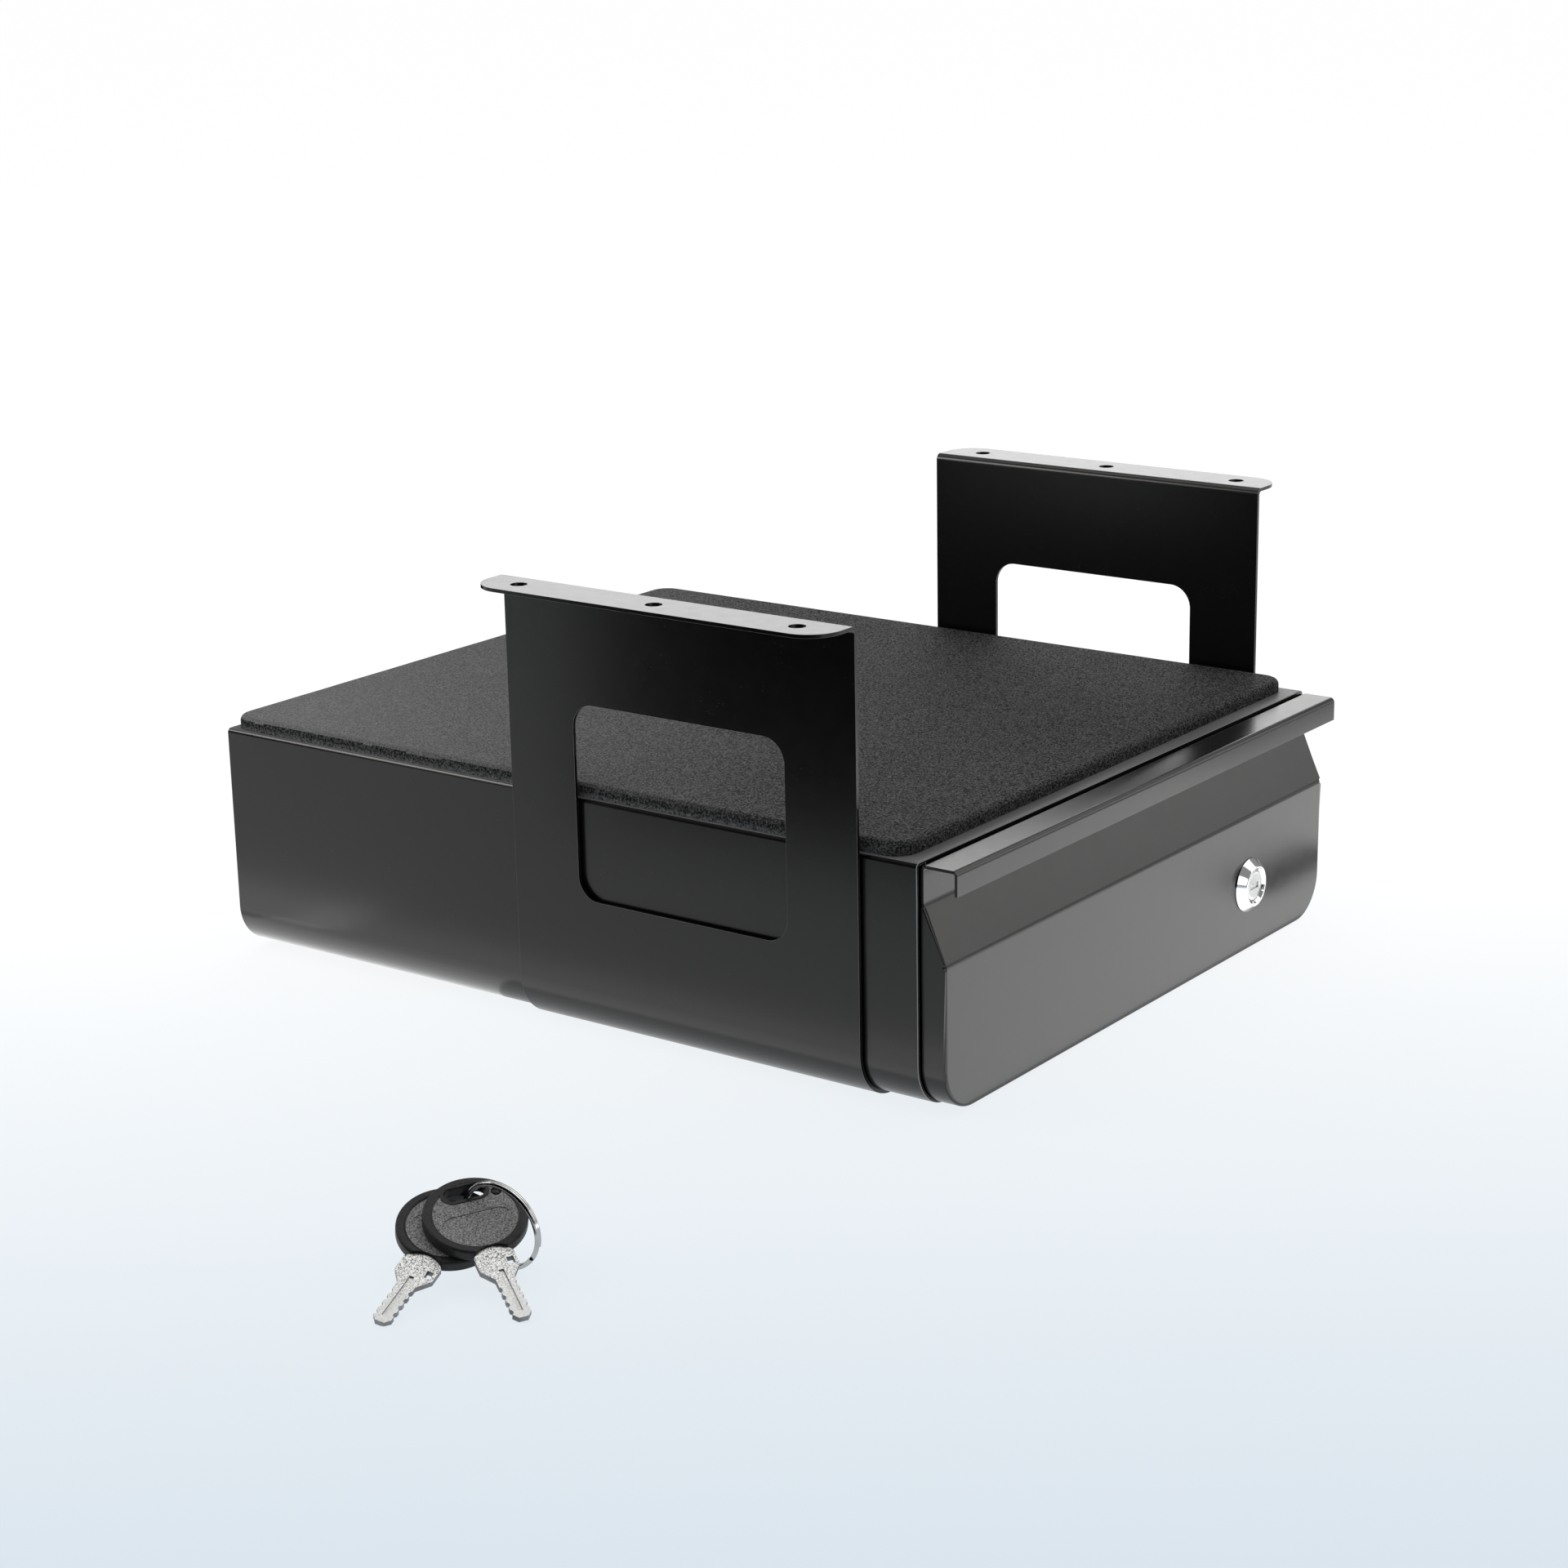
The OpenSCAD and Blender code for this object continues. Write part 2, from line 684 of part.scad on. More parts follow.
// Places the lock's pieces: z points out of the front, from the panel's face
module at_lock() {
    translate([lock_x, -front_depth, lock_z]) rotate([90, 0, 0]) children();
}

// Cone-shaped bezel and threaded barrel with two flats
module lock_body() in_frame() color([0.82, 0.82, 0.84]) at_lock() difference() {
    union() {
        rotate_extrude() {
            polygon([
                [0, 0], [bezel_r, 0], [bezel_r, 0.5], [bezel_face_r, bezel_h - 0.3],
                [bezel_face_r - 0.4, bezel_h], [0, bezel_h]
            ]);
        }
        intersection() {
            translate([0, 0, -barrel_l]) cylinder(r = barrel_r, h = barrel_l + 1);
            translate([-flat_x, -barrel_r, -barrel_l - 1]) cube([2 * flat_x, 2 * barrel_r, barrel_l + 2]);
        }
    }
    translate([0, 0, -barrel_l - 1]) cylinder(r = plug_r + plug_fit, h = barrel_l + bezel_h + 2);
    translate([0, 0, bezel_h - plug_recess])
        cylinder(r1 = plug_r + plug_fit, r2 = plug_r + plug_fit + plug_recess + 0.1, h = plug_recess + 0.1);
}

module lock_washer() in_frame() color([0.7, 0.7, 0.7]) at_lock()
    translate([0, 0, -front_t - lock_washer_t]) difference() {
        cylinder(r = lock_nut_af / 2 + 0.6, h = lock_washer_t);
        translate([0, 0, -1]) cylinder(r = barrel_r + lock_fit, h = lock_washer_t + 2);
    }

module lock_nut() in_frame() color([0.75, 0.75, 0.76]) at_lock()
    translate([0, 0, -front_t - lock_washer_t - lock_nut_h])
        hex_nut(lock_nut_af, lock_nut_h, barrel_r + lock_fit);

module lock_plug() in_frame() color([0.78, 0.78, 0.8]) at_lock() difference() {
    union() {
        translate([0, 0, -barrel_l]) cylinder(r = plug_r, h = barrel_l + bezel_h - plug_recess);
        translate([-tail_w / 2, -tail_w / 2, -cam_y - cam_t + 0.1])
            cube([tail_w, tail_w, cam_t + cam_gap]);
    }
    difference() {
        translate([-keyway_w / 2, -keyway_t / 2, -barrel_l + 3])
            cube([keyway_w, keyway_t, barrel_l + bezel_h]);
        translate([-groove_w / 2 + 0.2, keyway_t / 2 - groove_d + 0.2, -barrel_l])
            cube([groove_w - 0.4, groove_d, barrel_l + bezel_h + 1]);
    }
    translate([0, 0, -cam_y - cam_t - 1]) cylinder(r = cam_screw_r + plug_fit, h = 5);
}

// The cam points right when the lock is open and turns down behind the upstand
module lock_cam() in_frame() color([0.7, 0.7, 0.72]) at_lock()
    translate([0, 0, -cam_y - cam_t]) linear_extrude(cam_t) difference() {
        union() {
            circle(barrel_r);
            translate([0, -cam_w / 2]) square([cam_l - 3, cam_w]);
            translate([cam_l - 8, -cam_w / 2]) round_rect(8, cam_w, 3);
        }
        square(tail_w + 2 * tail_fit, center = true);
    }

module cam_washer() in_frame() color([0.7, 0.7, 0.7]) at_lock()
    translate([0, 0, -cam_y - cam_t - cam_washer_t]) difference() {
        cylinder(r = cam_washer_r, h = cam_washer_t);
        translate([0, 0, -1]) cylinder(r = cam_screw_r + plug_fit, h = cam_washer_t + 2);
    }

module cam_screw() in_frame() color([0.6, 0.6, 0.62]) at_lock()
    translate([0, 0, -cam_y - cam_t - cam_washer_t]) {
        translate([0, 0, -cam_head_h]) cylinder(r = cam_head_r, h = cam_head_h);
        translate([0, 0, -0.5]) cylinder(r = cam_screw_r, h = cam_washer_t + 4);
    }

// Puts the bunch of keys on the floor, facing the front left
module at_keys() {
    translate([key_place.x, key_place.y, foot_z]) rotate([0, 0, key_heading])
        translate([0, 0, key_lift]) rotate([key_lean, key_roll, 0]) children();
}

module lower_key() at_keys() translate([-head_step.x, -head_step.y, 0])
    rotate([0, 0, key_turn_lower]) children();

module upper_key() at_keys() translate([0, 0, upper_lift])
    rotate([0, 0, key_turn_upper]) children();

// Outline of a blade's shoulder, grown by g
module shoulder_outline(g) {
    intersection() {
        translate([0, shoulder_top_y - shoulder_arc_r]) circle(shoulder_arc_r + g);
        translate([-shoulder_w / 2 - g, shoulder_top_y - shoulder_l])
            square([shoulder_w + 2 * g, shoulder_l + 1]);
    }
}

// Outline of a whole blade
module blade_outline() {
    taper_y = shoulder_top_y - shoulder_l;
    shoulder_outline(0);
    translate([-tang_w / 2, shoulder_top_y - 3]) square([tang_w, tang_l + 3]);
    polygon([
        [-shoulder_w / 2, taper_y + 4], [-shoulder_w / 2, taper_y],
        [-key_blade_w / 2, taper_y - taper_l], [-key_blade_w / 2, -key_reach + 2],
        [-key_blade_w / 4, -key_reach], [key_blade_w / 4, -key_reach],
        [key_blade_w / 2, -key_reach + 2], [key_blade_w / 2, taper_y - taper_l],
        [shoulder_w / 2, taper_y], [shoulder_w / 2, taper_y + 4]
    ]);
}

// Flat blade with its round shoulder, a groove down each side and cuts on both edges
module key_blade() difference() {
    translate([0, 0, -key_blade_t / 2]) linear_extrude(key_blade_t) difference() {
        blade_outline();
        translate([shoulder_w / 2 - 3.6, shoulder_top_y - shoulder_l + 0.5]) square([2.4, 3.2]);
        for (s = [-1, 1], y = bite_ys)
            translate([s * (key_blade_w / 2 + 0.4), y + s * 0.8]) circle(bite_r);
    }
    translate([-groove_w / 2, -key_reach + 3, key_blade_t / 2 - groove_d])
        cube([groove_w, key_reach + shoulder_top_y - shoulder_l - 1, groove_d + 1]);
}

// Moulded head with a rim, a bare raised band, a ring slot and a pocket for the blade
module key_head() {
    half = key_head_t / 2;
    pocket_t = key_blade_t + 2 * key_fit;
    difference() {
        union() {
            translate([0, 0, -half + key_web_drop]) cylinder(r = key_head_r - 0.5, h = key_head_t - 2 * key_web_drop);
            rotate_extrude() {
                translate([key_head_r - key_rim_w, -half]) square([key_rim_w - 1, key_head_t]);
                translate([key_head_r - key_rim_w, -half + 1]) square([key_rim_w, key_head_t - 2]);
                for (s = [-1, 1]) translate([key_head_r - 1, s * (half - 1)]) circle(1);
            }
            translate([-band_w / 2, band_y - band_h / 2, -half]) linear_extrude(key_head_t)
                round_rect(band_w, band_h, band_h / 2 - 0.01);
        }
        translate([-slot_l / 2, slot_y - slot_w / 2, -half - 1]) linear_extrude(key_head_t + 2)
            round_rect(slot_l, slot_w, slot_w / 2 - 0.01);
        translate([0, 0, -half - 1]) linear_extrude(key_head_t + 2) {
            shoulder_outline(key_fit);
            translate([-key_head_r, shoulder_top_y - 14.5]) square([2 * key_head_r, 12]);
        }
        translate([-tang_w / 2 - key_fit, shoulder_top_y - 1, -pocket_t / 2])
            cube([tang_w + 2 * key_fit, tang_l + 1 + key_fit, pocket_t]);
    }
}

module key_head_lower() in_frame() color([0.13, 0.13, 0.14]) lower_key() key_head();

module key_blade_lower() in_frame() color([0.82, 0.82, 0.82]) lower_key() key_blade();

module key_head_upper() in_frame() color([0.13, 0.13, 0.14]) upper_key() key_head();

module key_blade_upper() in_frame() color([0.82, 0.82, 0.82]) upper_key() key_blade();

// Two turns of wire side by side, through both heads
module key_ring() in_frame() color([0.85, 0.85, 0.85]) at_keys() translate(ring_centre)
    rotate([0, 0, ring_aim]) rotate([90 - ring_tilt, 0, 0]) rotate_extrude()
        for (s = [-1, 1]) translate([ring_r, s * ring_wire_r * 0.85]) circle(ring_wire_r, $fn = 24);

housing_shell();
rear_panel();
rear_screws();
rear_nuts();
shelf_mat();
bracket_left();
bracket_right();
bracket_screws_left();
bracket_screws_right();
slide_rail_left();
slide_rail_right();
slide_bumper_left();
slide_bumper_right();
ball_cage_left();
ball_cage_right();
cage_balls_left();
cage_balls_right();
drawer_tray();
drawer_front();
front_nuts();
drawer_rail_left();
drawer_rail_right();
rail_screws_left();
rail_screws_right();
lock_body();
lock_washer();
lock_nut();
lock_plug();
lock_cam();
cam_washer();
cam_screw();
key_head_lower();
key_blade_lower();
key_head_upper();
key_blade_upper();
key_ring();
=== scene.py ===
"""Looks of a lockable under-desk drawer with its shelf mat, brackets, cam lock and keys."""

import logging
import math
from collections.abc import Iterable, Mapping, Sequence
from dataclasses import dataclass, field
from enum import Enum

import bmesh
import bpy
from bmesh.types import BMEdge, BMesh, BMFace, BMVert
from mathutils import Euler, Matrix, Vector, noise


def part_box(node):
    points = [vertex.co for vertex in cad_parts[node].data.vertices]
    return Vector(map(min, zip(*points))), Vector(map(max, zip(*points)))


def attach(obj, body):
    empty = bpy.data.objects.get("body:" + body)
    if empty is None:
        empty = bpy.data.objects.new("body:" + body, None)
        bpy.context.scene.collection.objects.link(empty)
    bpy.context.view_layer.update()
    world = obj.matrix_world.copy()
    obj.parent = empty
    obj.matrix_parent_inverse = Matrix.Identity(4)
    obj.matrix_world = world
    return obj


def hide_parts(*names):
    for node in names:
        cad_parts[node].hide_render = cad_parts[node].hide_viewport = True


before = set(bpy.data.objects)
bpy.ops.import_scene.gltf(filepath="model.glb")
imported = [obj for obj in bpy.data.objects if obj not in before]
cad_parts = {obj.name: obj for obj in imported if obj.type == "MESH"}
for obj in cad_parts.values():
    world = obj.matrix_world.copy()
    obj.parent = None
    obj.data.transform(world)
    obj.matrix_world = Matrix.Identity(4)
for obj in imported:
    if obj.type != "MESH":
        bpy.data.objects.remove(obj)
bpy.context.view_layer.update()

LOG = logging.getLogger("drawer")
MM = 0.001
# Distances in millimetres below which points count as one, as near or as level.
SAME, NEAR, LEVEL = 1e-5, 1e-4, 1e-3
IMAGE_PIXELS = 1920
SENSOR_MM = 36.0

Socket = bpy.types.NodeSocket
Triple = tuple[float, float, float]
Colour = Triple
Value = float | Sequence[float] | Socket
Inputs = Mapping[str | int, Value]


class Body(Enum):
    """The bodies that pieces ride on."""

    HOUSING = "housing"
    DRAWER = "drawer"
    LOCK_CORE = "lock_core"


class Slot(Enum):
    """The record's material slots of the new pieces."""

    COAT = "black_coat"
    FELT = "shelf_felt"
    CHROME = "bright_chrome"
    BRASS = "lock_brass"
    KEY_PLASTIC = "key_plastic"
    KEY_NICKEL = "key_nickel"
    RING = "ring_steel"


def even(value: float) -> Triple:
    """Returns a number three times, as a neutral colour or an even scale."""
    return (value, value, value)


def node_low() -> Vector:
    """Returns the housing's front lower middle point, where the pieces' own millimetres start."""
    low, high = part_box("housing_shell")
    return Vector(((low.x + high.x) / 2, low.y, low.z))


ORIGIN = node_low()


def span(node: str) -> tuple[Vector, Vector]:
    """Returns a CAD node's lowest and highest corner in the pieces' own millimetres."""
    low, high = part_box(node)
    return (low - ORIGIN) / MM, (high - ORIGIN) / MM


class Shader:
    """A node tree that a finish writes its material into."""

    MIX_FIRST, MIX_SECOND, MIX_RESULT = 6, 7, 2

    def __init__(self, name: str) -> None:
        """Makes an empty material.

        Args:
            name: The material's name.
        """
        self.material = bpy.data.materials.new(name)
        self.material.use_nodes = True
        self.tree = self.material.node_tree
        self.coords = self.node("TexCoord", {}, "Object")

    def fill(self, node: bpy.types.Node, inputs: Inputs) -> None:
        """Fills a node's inputs.

        Args:
            node: The node.
            inputs: A socket to link, a number or a colour for each input, by name or place.
        """
        for name, value in inputs.items():
            if isinstance(value, Socket):
                self.tree.links.new(value, node.inputs[name])
            else:
                node.inputs[name].default_value = value

    def node(self, kind: str, inputs: Inputs, output: str | int, **settings: object) -> Socket:
        """Adds a node.

        Args:
            kind: The node's type, without its prefix.
            inputs: What fills its inputs.
            output: The output that is wanted.
            settings: The node's own settings.

        Returns:
            The output's socket.
        """
        node = self.tree.nodes.new("ShaderNode" + kind)
        for name, value in settings.items():
            setattr(node, name, value)
        self.fill(node, inputs)
        return node.outputs[output]

    def scaled(self, size: Triple) -> Socket:
        """Returns object coordinates scaled by size."""
        return self.node("Mapping", {"Scale": size, "Vector": self.coords}, "Vector")

    def noise(self, scale: float, detail: float = 2.0, rough: float = 0.5,
              vector: Socket | None = None) -> Socket:
        """Returns a noise, given its features per metre, its octaves and the weight of the finer ones."""
        return self.node("TexNoise", {"Scale": scale, "Detail": detail, "Roughness": rough,
                                      "Vector": vector or self.coords}, "Fac")

    def cells(self, scale: float) -> Socket:
        """Returns the distance to the nearest of many scattered points."""
        return self.node("TexVoronoi", {"Scale": scale, "Vector": self.coords}, "Distance")

    def along(self, direction: Sequence[float]) -> Socket:
        """Returns how far a point lies along a direction, from the object's origin."""
        return self.node("VectorMath", {0: self.coords, 1: direction}, "Value", operation="DOT_PRODUCT")

    def layer(self, name: str) -> Socket:
        """Returns a number that the mesh carries for each of its points."""
        return self.node("Attribute", {}, "Fac", attribute_name=name)

    def span(self, value: Socket, low: float, high: float, to_low: float = 0.0,
             to_high: float = 1.0) -> Socket:
        """Maps a value from one range to another, clamped."""
        return self.node("MapRange", {"Value": value, "From Min": low, "From Max": high, "To Min": to_low,
                                      "To Max": to_high}, "Result")

    def mixed(self, factor: Socket, first: Colour | Socket, second: Colour) -> Socket:
        """Mixes two colours.

        Args:
            factor: How much of the second colour shows.
            first: A colour or a colour's socket.
            second: A colour.

        Returns:
            The mixed colour's socket.
        """
        inputs = {"Factor": factor, self.MIX_FIRST: first if isinstance(first, Socket) else (*first, 1.0),
                  self.MIX_SECOND: (*second, 1.0)}
        return self.node("Mix", inputs, self.MIX_RESULT, data_type="RGBA", clamp_factor=False)

    def sum(self, first: Socket, second: Socket) -> Socket:
        """Returns the sum of two values."""
        return self.node("Math", {0: first, 1: second}, 0, operation="ADD")

    def product(self, first: Socket, second: Socket) -> Socket:
        """Returns the product of two values."""
        return self.node("Math", {0: first, 1: second}, 0, operation="MULTIPLY")

    def bump(self, height: Socket, depth: float, strength: float, under: Socket | None = None) -> Socket:
        """Adds a relief.

        Args:
            height: The height's socket, from 0 to 1.
            depth: Depth of the relief in metres.
            strength: Share of the relief that shows.
            under: The normal of a coarser relief below this one.

        Returns:
            The normal's socket.
        """
        inputs = {"Strength": strength, "Distance": depth, "Height": height}
        if under is not None:
            inputs["Normal"] = under
        return self.node("Bump", inputs, "Normal")

    def dressed(self, sockets: Mapping[str, Value]) -> bpy.types.Material:
        """Fills the shader's own sockets and returns the finished material."""
        self.fill(self.tree.nodes["Principled BSDF"], sockets)
        return self.material


@dataclass(frozen=True)
class PowderCoat:
    """Satin black powder coat with a fine orange peel and a little dust."""

    name: str = "satin_black_coat"
    tone: Colour = even(0.0010)
    lifted: Colour = even(0.0022)
    dust: Colour = even(0.12)
    roughness: tuple[float, float] = (0.225, 0.25)
    tint: Colour = (1.0, 0.972, 0.945)
    haze: float = 0.0

    def build(self) -> bpy.types.Material:
        """Builds the material.

        Returns:
            The finished material.
        """
        s = Shader(self.name)
        tone = s.mixed(s.span(s.noise(14.0, 3.0), 0.3, 0.7), self.tone, self.lifted)
        specks = s.product(s.span(s.cells(620.0), 0.05, 0.11, 1.0, 0.0),
                           s.span(s.noise(90.0, 1.0), 0.56, 0.66, 0.0, 0.55))
        peel = s.bump(s.noise(750.0), 0.00002, 0.5)
        return s.dressed({
            "Base Color": s.mixed(specks, tone, self.dust),
            "Roughness": s.span(s.noise(160.0, 3.0), 0.3, 0.7, *self.roughness),
            "Normal": s.bump(s.noise(2600.0, 2.0, 0.6), 0.00001, 0.6, peel),
            "Specular IOR Level": 0.44, "Specular Tint": (*self.tint, 1.0),
            "Sheen Weight": self.haze, "Sheen Roughness": 0.6})


@dataclass(frozen=True)
class FeltMat:
    """Dense dark grey foam, either its felted face or its cut side."""

    name: str
    dark: Colour
    light: Colour
    fleck: Colour = even(0.2)
    fibres: float = 1300.0
    relief: float = 0.0004
    sheen: float = 0.05
    # Painted light: the felt's tone grows lighter along this direction, towards the mat's rear left.
    lit_towards: Triple = (-0.6, 0.8, 0.0)
    lit_span: tuple[float, float] = (0.06, 0.26)
    lit_gain: float = 0.0
    frayed: float = 0.0
    fray_height: tuple[float, float] = (0.0004, 0.0022)
    fray_start: tuple[float, float] = (0.004, 0.04)

    def build(self) -> bpy.types.Material:
        """Builds the material, lighter where the foot frays, with painted light that grows towards the mat's
        rear left.

        Returns:
            The finished material.
        """
        s = Shader(self.name)
        fibre = s.noise(self.fibres, 2.0, 0.7)
        cloud = s.span(s.noise(24.0, 3.0), 0.3, 0.75, 0.0, 0.1)
        # Painted light: the felt is lighter towards the rear left.
        painted_light = s.span(s.along(self.lit_towards), *self.lit_span, 0.0, self.lit_gain)
        lit = s.sum(s.span(fibre, 0.42, 0.64), s.sum(cloud, painted_light))
        if self.frayed > 0:
            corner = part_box("shelf_mat")[0]
            foot, clear = (corner.z + height for height in self.fray_height)
            front, back = (corner.y + start for start in self.fray_start)
            fray = s.product(s.span(s.along((0.0, 0.0, 1.0)), foot, clear, self.frayed, 0.0),
                             s.span(s.along((0.0, 1.0, 0.0)), front, back))
            lit = s.sum(lit, s.product(fray, s.span(s.noise(1000.0), 0.35, 0.6)))
        flecks = s.span(s.noise(1500.0, 1.0), 0.68, 0.76, 0.0, 0.7)
        coarse = s.bump(s.noise(self.fibres / 2), self.relief, 0.7)
        return s.dressed({
            "Base Color": s.mixed(flecks, s.mixed(lit, self.dark, self.light), self.fleck),
            "Roughness": 0.72, "Specular IOR Level": s.span(fibre, 0.42, 0.64, 0.02, 0.24),
            "Sheen Weight": s.span(fibre, 0.42, 0.64, 0.0, self.sheen), "Sheen Roughness": 0.5,
            "Normal": s.bump(fibre, self.relief, 0.8, coarse)})


@dataclass(frozen=True)
class PlatedSteel:
    """Plated sheet steel, with the faint drawn grain of a pressed part."""

    name: str
    tone: Colour
    shade: Colour
    roughness: tuple[float, float]
    grain: Triple = (1500.0, 60.0, 1500.0)
    relief: float = 0.000006

    def build(self) -> bpy.types.Material:
        """Builds the material.

        Returns:
            The finished material.
        """
        s = Shader(self.name)
        lines = s.noise(1.0, 2.0, 0.6, s.scaled(self.grain))
        return s.dressed({
            "Base Color": s.mixed(s.span(s.noise(120.0, 3.0), 0.32, 0.7), self.tone, self.shade),
            "Roughness": s.span(s.noise(300.0), 0.3, 0.7, *self.roughness),
            "Normal": s.bump(lines, self.relief, 0.6), "Metallic": 1.0})


@dataclass(frozen=True)
class FrostedNickel:
    """Nickel-plated key blank with a tumbled speckle that fades towards the blade's tip."""

    name: str = "speckled_nickel"
    tone: Colour = (0.72, 0.72, 0.71)
    shade: Colour = even(0.05)
    layer: str = "reach"

    def build(self) -> bpy.types.Material:
        """Builds the material.

        Returns:
            The finished material.
        """
        s = Shader(self.name)
        speck = s.noise(1900.0, 3.0, 0.75)
        mask = s.product(s.span(speck, 0.46, 0.6), s.span(s.layer(self.layer), 0.15, 0.8, 1.0, 0.15))
        return s.dressed({
            "Base Color": s.mixed(mask, self.tone, self.shade),
            "Metallic": s.span(s.layer(self.layer), 0.2, 0.8, 0.9, 0.4),
            "Roughness": s.span(speck, 0.35, 0.65, 0.3, 0.5),
            "Normal": s.bump(speck, 0.00006, 0.5)})


@dataclass(frozen=True)
class GrainedPlastic:
    """Black moulding whose open faces are spark-eroded."""

    name: str
    dark: Colour
    light: Colour
    grain: float
    depth: float
    roughness: tuple[float, float]
    gloss: float = 0.2

    def build(self) -> bpy.types.Material:
        """Builds the material.

        Returns:
            The finished material.
        """
        s = Shader(self.name)
        grain = s.noise(self.grain, 3.0, 0.6)
        return s.dressed({
            "Base Color": s.mixed(s.span(grain, 0.36, 0.66), self.dark, self.light),
            "Roughness": s.span(s.noise(400.0), 0.3, 0.7, *self.roughness),
            "Specular IOR Level": self.gloss, "Normal": s.bump(grain, self.depth, 0.8)})


@dataclass(frozen=True)
class StudioFloor:
    """Pale lit table that turns slightly blue towards the camera."""

    name: str = "pale_floor"
    near: Colour = (0.66, 0.74, 0.81)
    far: Colour = even(1.0)
    own: Colour = even(0.10)
    fade: tuple[float, float] = (-0.52, 0.14)

    def build(self, heading: Vector) -> bpy.types.Material:
        """Builds the material, whose tone fades from near to far.

        Args:
            heading: The level direction of the fade.

        Returns:
            The finished material.
        """
        s = Shader(self.name)
        return s.dressed({
            "Base Color": (*self.own, 1.0),
            "Emission Color": s.mixed(s.span(s.along(heading), *self.fade), self.near, self.far),
            "Emission Strength": 0.96, "Roughness": 0.9, "Specular IOR Level": 0.0})


class Finishes:
    """All the object's materials, made once."""

    def __init__(self) -> None:
        """Builds every material."""
        self.coat = PowderCoat().build()
        # Painted light: the top faces beside the mat get a much lighter coat for the light they catch.
        self.top_coat_painted_light = PowderCoat("painted_light_black_coat", even(0.085), even(0.12), roughness=(0.42, 0.5),
                                     haze=0.05).build()
        # Painted highlight: eased edges get a lighter coat that stands for the light they catch.
        self.edge_highlight_coat = PowderCoat("painted_highlight_edge_coat", even(0.19), even(0.24), roughness=(0.3, 0.36)).build()
        # The felted top carries painted light, lighter towards its rear left.
        self.felt = FeltMat("dark_felt_foam", even(0.004), even(0.064), lit_gain=1.7).build()
        self.felt_side = FeltMat("cut_foam_side", even(0.006), even(0.055), even(0.25), 1100.0, 0.0003, 0.0,
                                 frayed=1.9).build()
        self.zinc = PlatedSteel("zinc_sheet", (0.62, 0.63, 0.65), (0.50, 0.52, 0.56), (0.26, 0.4)).build()
        self.screw = PlatedSteel("zinc_fastener", (0.58, 0.59, 0.60), (0.44, 0.45, 0.47), (0.24, 0.38),
                                 even(900.0)).build()
        self.black_screw = PlatedSteel("black_fastener", (0.06, 0.06, 0.062), (0.04, 0.04, 0.042),
                                       (0.3, 0.42), even(900.0)).build()
        self.ball = PlatedSteel("bearing_steel", (0.75, 0.75, 0.76), (0.70, 0.70, 0.72), (0.08, 0.14),
                                even(400.0), 0.000001).build()
        self.chrome = PlatedSteel("bright_chrome", (0.66, 0.66, 0.67), (0.58, 0.58, 0.59), (0.06, 0.12),
                                  even(500.0), 0.000002).build()
        self.brass = PlatedSteel("nickelled_brass", (0.72, 0.67, 0.55), (0.62, 0.57, 0.46), (0.2, 0.32),
                                 even(700.0)).build()
        self.plug = PlatedSteel("polished_plug", even(0.52), even(0.42), (0.26, 0.34), even(1400.0),
                                0.000004).build()
        self.ring = PlatedSteel("bright_ring_wire", (0.5, 0.5, 0.49), even(0.42), (0.1, 0.16), even(600.0),
                                0.000004).build()
        self.nickel = FrostedNickel().build()
        self.key_cut = PlatedSteel("milled_key_edge", even(0.30), even(0.12), (0.36, 0.46),
                                   even(1600.0)).build()
        self.key_face = GrainedPlastic("grained_key_face", even(0.05), even(0.34), 1800.0, 0.00014,
                                       (0.42, 0.55)).build()
        self.key_rim = GrainedPlastic("smooth_key_rim", even(0.012), even(0.022), 900.0, 0.00002,
                                      (0.38, 0.46)).build()
        self.rubber = GrainedPlastic("matt_rubber", even(0.018), even(0.03), 1200.0, 0.00004,
                                     (0.7, 0.8)).build()


def rounded(bm: BMesh, geom: Sequence[BMEdge | BMVert], radius: float, segments: int, affect: str = "EDGES",
            clamp: bool = False) -> None:
    """Rounds edges or corners."""
    bmesh.ops.bevel(bm, geom=geom, offset=radius, segments=segments, profile=0.5, material=-1, affect=affect,
                    clamp_overlap=clamp)


def faced(bm: BMesh) -> BMesh:
    """Turns all faces outwards and returns the bmesh."""
    bmesh.ops.recalc_face_normals(bm, faces=bm.faces[:])
    return bm


def moved(bm: BMesh, move: Sequence[float]) -> BMesh:
    """Moves a bmesh and returns it."""
    bmesh.ops.translate(bm, verts=bm.verts[:], vec=move)
    return bm


def split(bm: BMesh, at: Sequence[float], normal: Sequence[float]) -> None:
    """Splits the faces that cross a plane."""
    bmesh.ops.bisect_plane(bm, geom=bm.verts[:] + bm.edges[:] + bm.faces[:], plane_co=at, plane_no=normal,
                           dist=NEAR)


def drawn_out(bm: BMesh, edges: Sequence[BMEdge]) -> tuple[list[BMVert], list[BMEdge]]:
    """Extrudes edges in place and returns the new points and edges."""
    made = bmesh.ops.extrude_edge_only(bm, edges=edges)["geom"]
    return [g for g in made if isinstance(g, BMVert)], [g for g in made if isinstance(g, BMEdge)]


